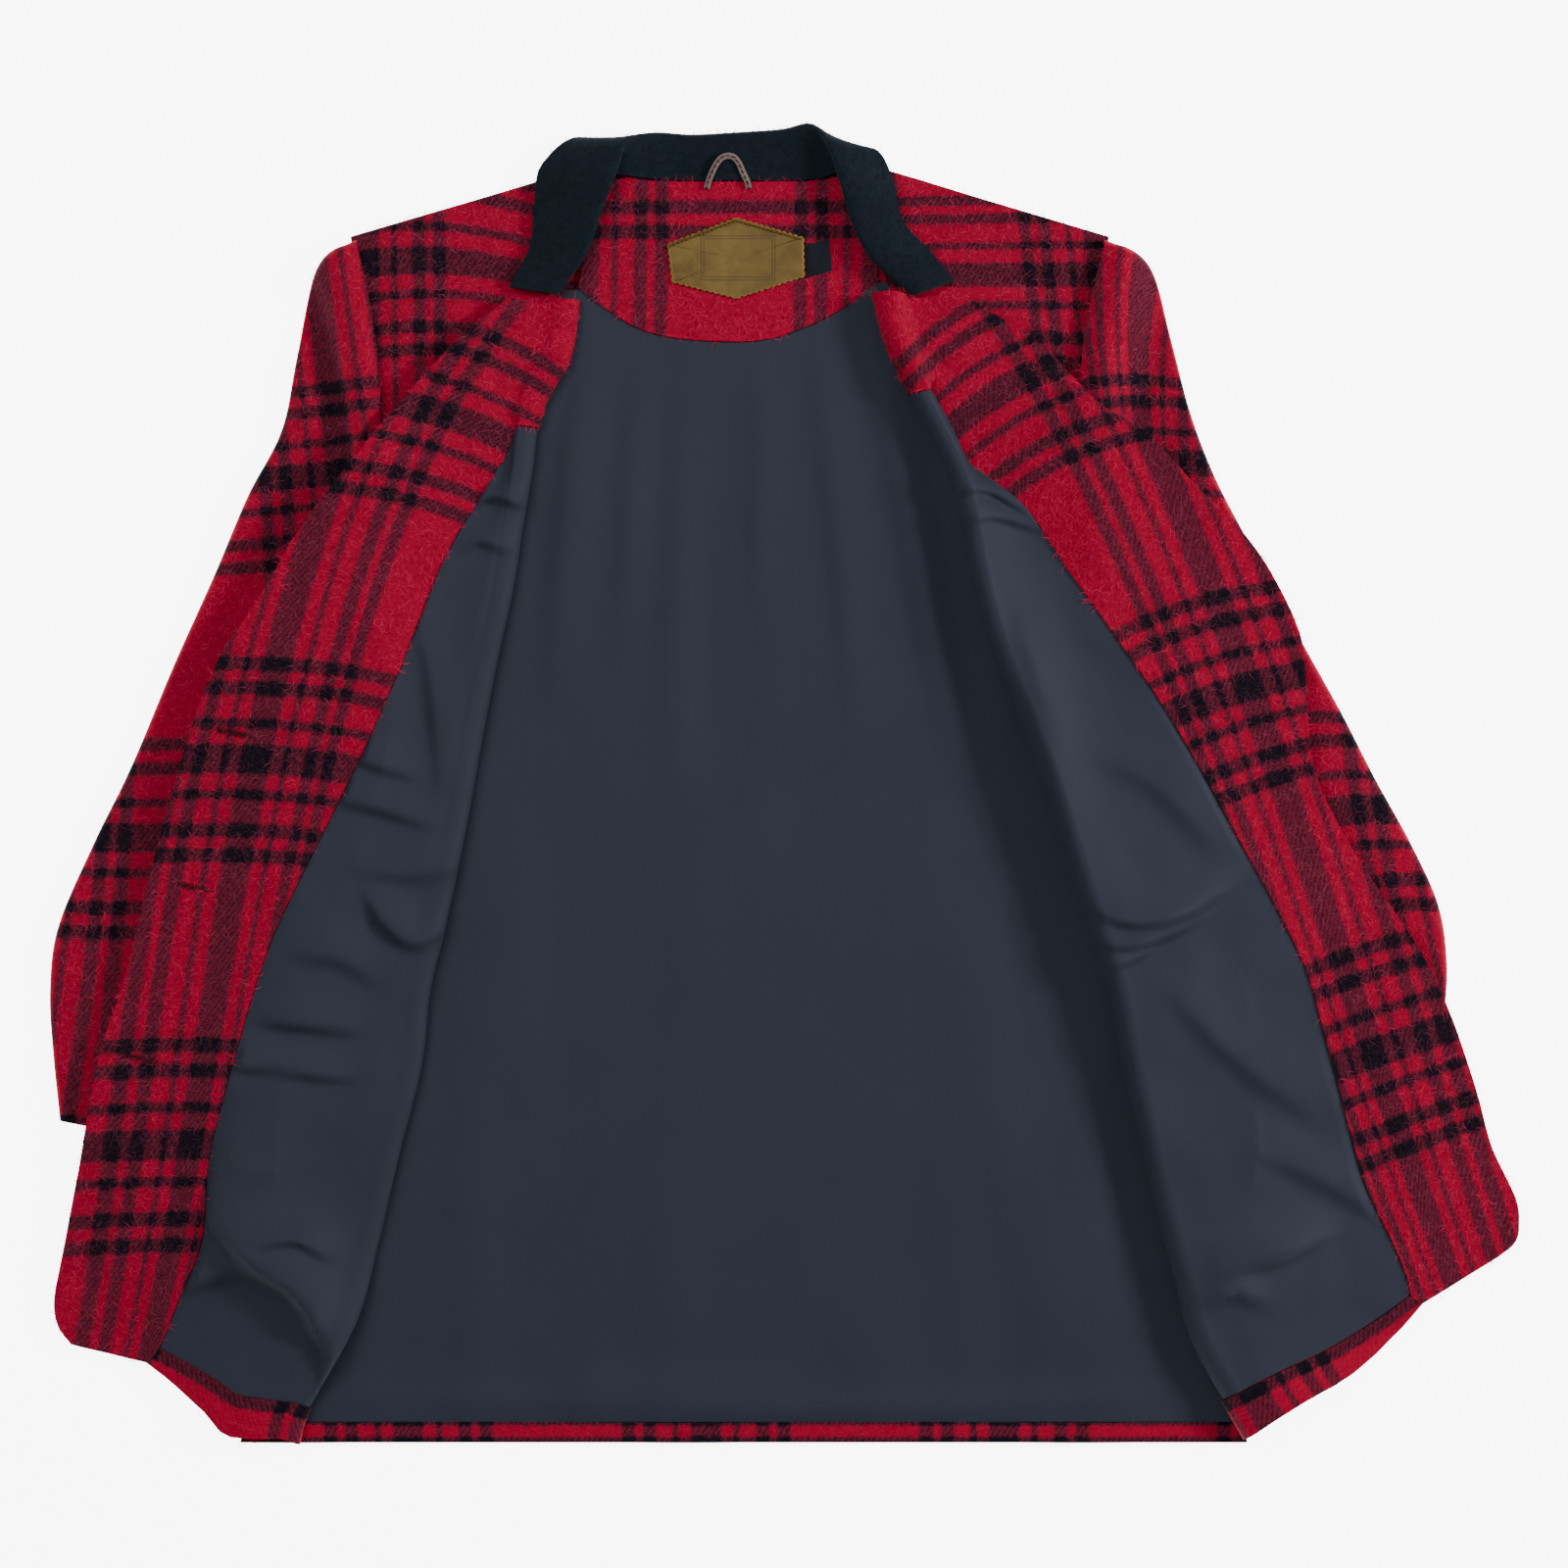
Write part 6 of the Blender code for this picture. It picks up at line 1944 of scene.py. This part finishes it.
TAB_OUTLINE = np.array([(13.2, 298.9), (27.2, 299.4), (27.0, 321.4), (13.2, 321.9)])
TAB_FLAP = np.array([(13.6, 302.6), (21.0, 302.8), (20.8, 319.4), (13.6, 319.6)])
tab_edge = through(np.vstack([TAB_OUTLINE, TAB_OUTLINE[:1]]), 5)[:4]
tab = slab("size_tab_cloth", tab_edge, 5.0, 0.8, tab_cloth, soft=0.1)
keep(tab, "size_tab")
flap = slab("size_tab_flap", TAB_FLAP, 6.0, 0.5, tab_cloth, soft=0.08)
keep(flap)

LOOP_LINE = [
    (-45.6, 352.0, 5.7), (-44.6, 356.0, 6.6), (-42.6, 361.0, 7.5), (-40.0, 366.0, 7.7), (-37.0, 369.6, 7.7),
    (-33.2, 370.9, 7.7), (-29.6, 370.0, 7.7), (-26.6, 366.4, 7.7), (-24.2, 361.0, 7.5), (-21.8, 356.0, 6.6),
    (-20.8, 352.0, 5.7),
]
LOOP_WIDTH = 3.3


def make_loop():
    line = through(LOOP_LINE, 90)
    run = unit(np.gradient(line, axis=0))
    across = unit(np.stack([-run[:, 1], run[:, 0], 0 * run[:, 0]], axis=-1))
    share = np.linspace(-1, 1, 9)
    twist = 0.35 * np.sin(np.linspace(0, 2 * math.pi, len(line)))
    grid = line[:, None] + across[:, None] * (share * LOOP_WIDTH / 2)[None, :, None]
    grid[..., 2] += twist[:, None] * share * 0.6 + 0.35 * (1 - share ** 2)
    loop = make_sheet("hanger_loop_tape", grid, 1.0, tape, grid[..., :2])
    keep(loop, "hanger_loop")
    line[:, 2] += 1.0
    keep(stitched("loop_stitches", line, thick_thread, dark_thread, 3.4, seed=11))


make_loop()

# %% [markdown]
# ## The buttonholes
#
# Each buttonhole has a close row of stitches along both lips and a loose end of thread. Down its middle
# lies a row of near-black threads, which is painted shade standing for the dark gap of the opening. The
# nap half hides it, so it shows as a short dark line. The rows lie on the facing, at the height found from
# its own points.

# %% Buttonholes
BUTTONHOLES = [(-324.8, 30.2), (-348.0, -60.9), (-378.7, -161.8)]
HOLE_LENGTH = 17.0
HOLE_SLOPE = -0.2


def height_on(grid, x, y):
    """The height of a laid grid's middle at a place, from its nearest points."""
    away = (grid[..., 0] - x) ** 2 + (grid[..., 1] - y) ** 2
    nearest = np.argsort(away, axis=None)[:6]
    return float(grid[..., 2].reshape(-1)[nearest].mean())


def make_buttonhole(number, x, y, facing):
    along = unit(np.array([1.0, HOLE_SLOPE]))
    across = np.array([-along[1], along[0]])
    steps_along = np.linspace(-HOLE_LENGTH / 2, HOLE_LENGTH / 2, 12)
    for lip, side in ((1, -1.0), (2, 1.0)):
        line = []
        for step in steps_along:
            point = np.array([x, y]) + along * step + across * side
            line.append((*point, height_on(facing, *point) + WOOL / 2 + 0.25))
        name = f"buttonhole_{number}_lip_{lip}"
        row = stitched(name, line, thin_thread, dark_thread, 0.75, math.pi / 2, 0.25, 10 * number + lip)
        keep(row)
    # The middle row is painted shade: near-black threads laid where the opening between the lips lies in
    # shadow.
    painted_slit_shade = []
    for step in np.linspace(-HOLE_LENGTH / 2 + 0.5, HOLE_LENGTH / 2 + 3, 12):
        point = np.array([x, y]) + along * step
        painted_slit_shade.append((*point, height_on(facing, *point) + WOOL / 2 + 0.12))
    name = f"buttonhole_{number}_slit"
    keep(stitched(name, painted_slit_shade, thick_thread, dark_thread, 1.4, 0.0, 0.05, number))


for number, (x, y) in enumerate(BUTTONHOLES, 1):
    make_buttonhole(number, x, y, left_pieces[4])
print("buttonholes:", len(BUTTONHOLES))

# %% [markdown]
# ## The nap
#
# Brushed wool shows single fibres against dark yarn and along every edge. They are placed only where the
# cloth can be seen, because a hidden fibre costs as much as a seen one. To find those places every layer is
# added to the height map, and a part of a sheet counts as seen where it is level with the map.

# %% Nap
NAP_DENSITY = 0.34
FELT_NAP_DENSITY = 0.3
SHORTEST_FIBRE = 0.4
LONGEST_FIBRE = 1.3
NAP_SEEN_WITHIN = 2.0


def seen_quads(top):
    """Which quads of a sheet's upper side aren't covered by anything."""
    middle = (top[:-1, :-1] + top[1:, :-1] + top[:-1, 1:] + top[1:, 1:]) / 4
    found = bed.height[bed.cells(middle[..., 0], middle[..., 1])]
    return middle[..., 2] > found - NAP_SEEN_WITHIN


def add_nap(name, middle, thickness, cloth, finish, density, seed, kept=None):
    """Fibres over the seen part of a laid sheet."""
    top = middle + grid_normals(middle) * thickness / 2
    chosen = seen_quads(top)
    if kept is not None:
        chosen &= kept
    quads = grid_quads(*top.shape[:2])[chosen]
    corners = top.reshape(-1, 3)[quads]
    if np.cross(corners[:, 2] - corners[:, 0], corners[:, 3] - corners[:, 1])[:, 2].sum() < 0:
        quads = quads[:, ::-1]
    used, faces = np.unique(quads, return_inverse=True)
    piece = grown(
        name, nap_tree, top.reshape(-1, 3)[used], [], faces.reshape(-1, 4).tolist(),
        cloth.reshape(-1, 2)[used], Fibre=fibre_shape, Density=density * 1e6, Shortest=SHORTEST_FIBRE,
        Longest=LONGEST_FIBRE, Seed=seed, Finish=finish,
    )
    keep(piece)


for pieces in (left_pieces, right_pieces):
    bed.add(pieces[4], WOOL / 2)
bed.add(collar_grid, COLLAR_CLOTH / 2)
for seed, (name, middle, thickness, cloth, kept) in enumerate(napped, 1):
    add_nap(name + "_nap", middle, thickness, cloth, wool_fibre, NAP_DENSITY, seed, kept)
add_nap(
    "collar_nap", collar_grid, COLLAR_CLOTH, collar_cloth, felt_fibre, FELT_NAP_DENSITY, 40,
)
for shape in templates:
    bpy.data.objects.remove(shape)
print("napped pieces:", len(napped) + 1)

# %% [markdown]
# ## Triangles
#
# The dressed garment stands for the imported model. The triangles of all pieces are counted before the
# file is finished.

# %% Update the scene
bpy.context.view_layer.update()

# %% Finish
pieces = [
    piece for piece in bpy.data.objects
    if piece.type == "MESH" and piece.name not in nodes and piece != floor
]
triangles = [sum(len(face.vertices) - 2 for face in piece.data.polygons) for piece in pieces]
print("triangles:", sum(triangles), "and the most in one piece:", max(triangles))
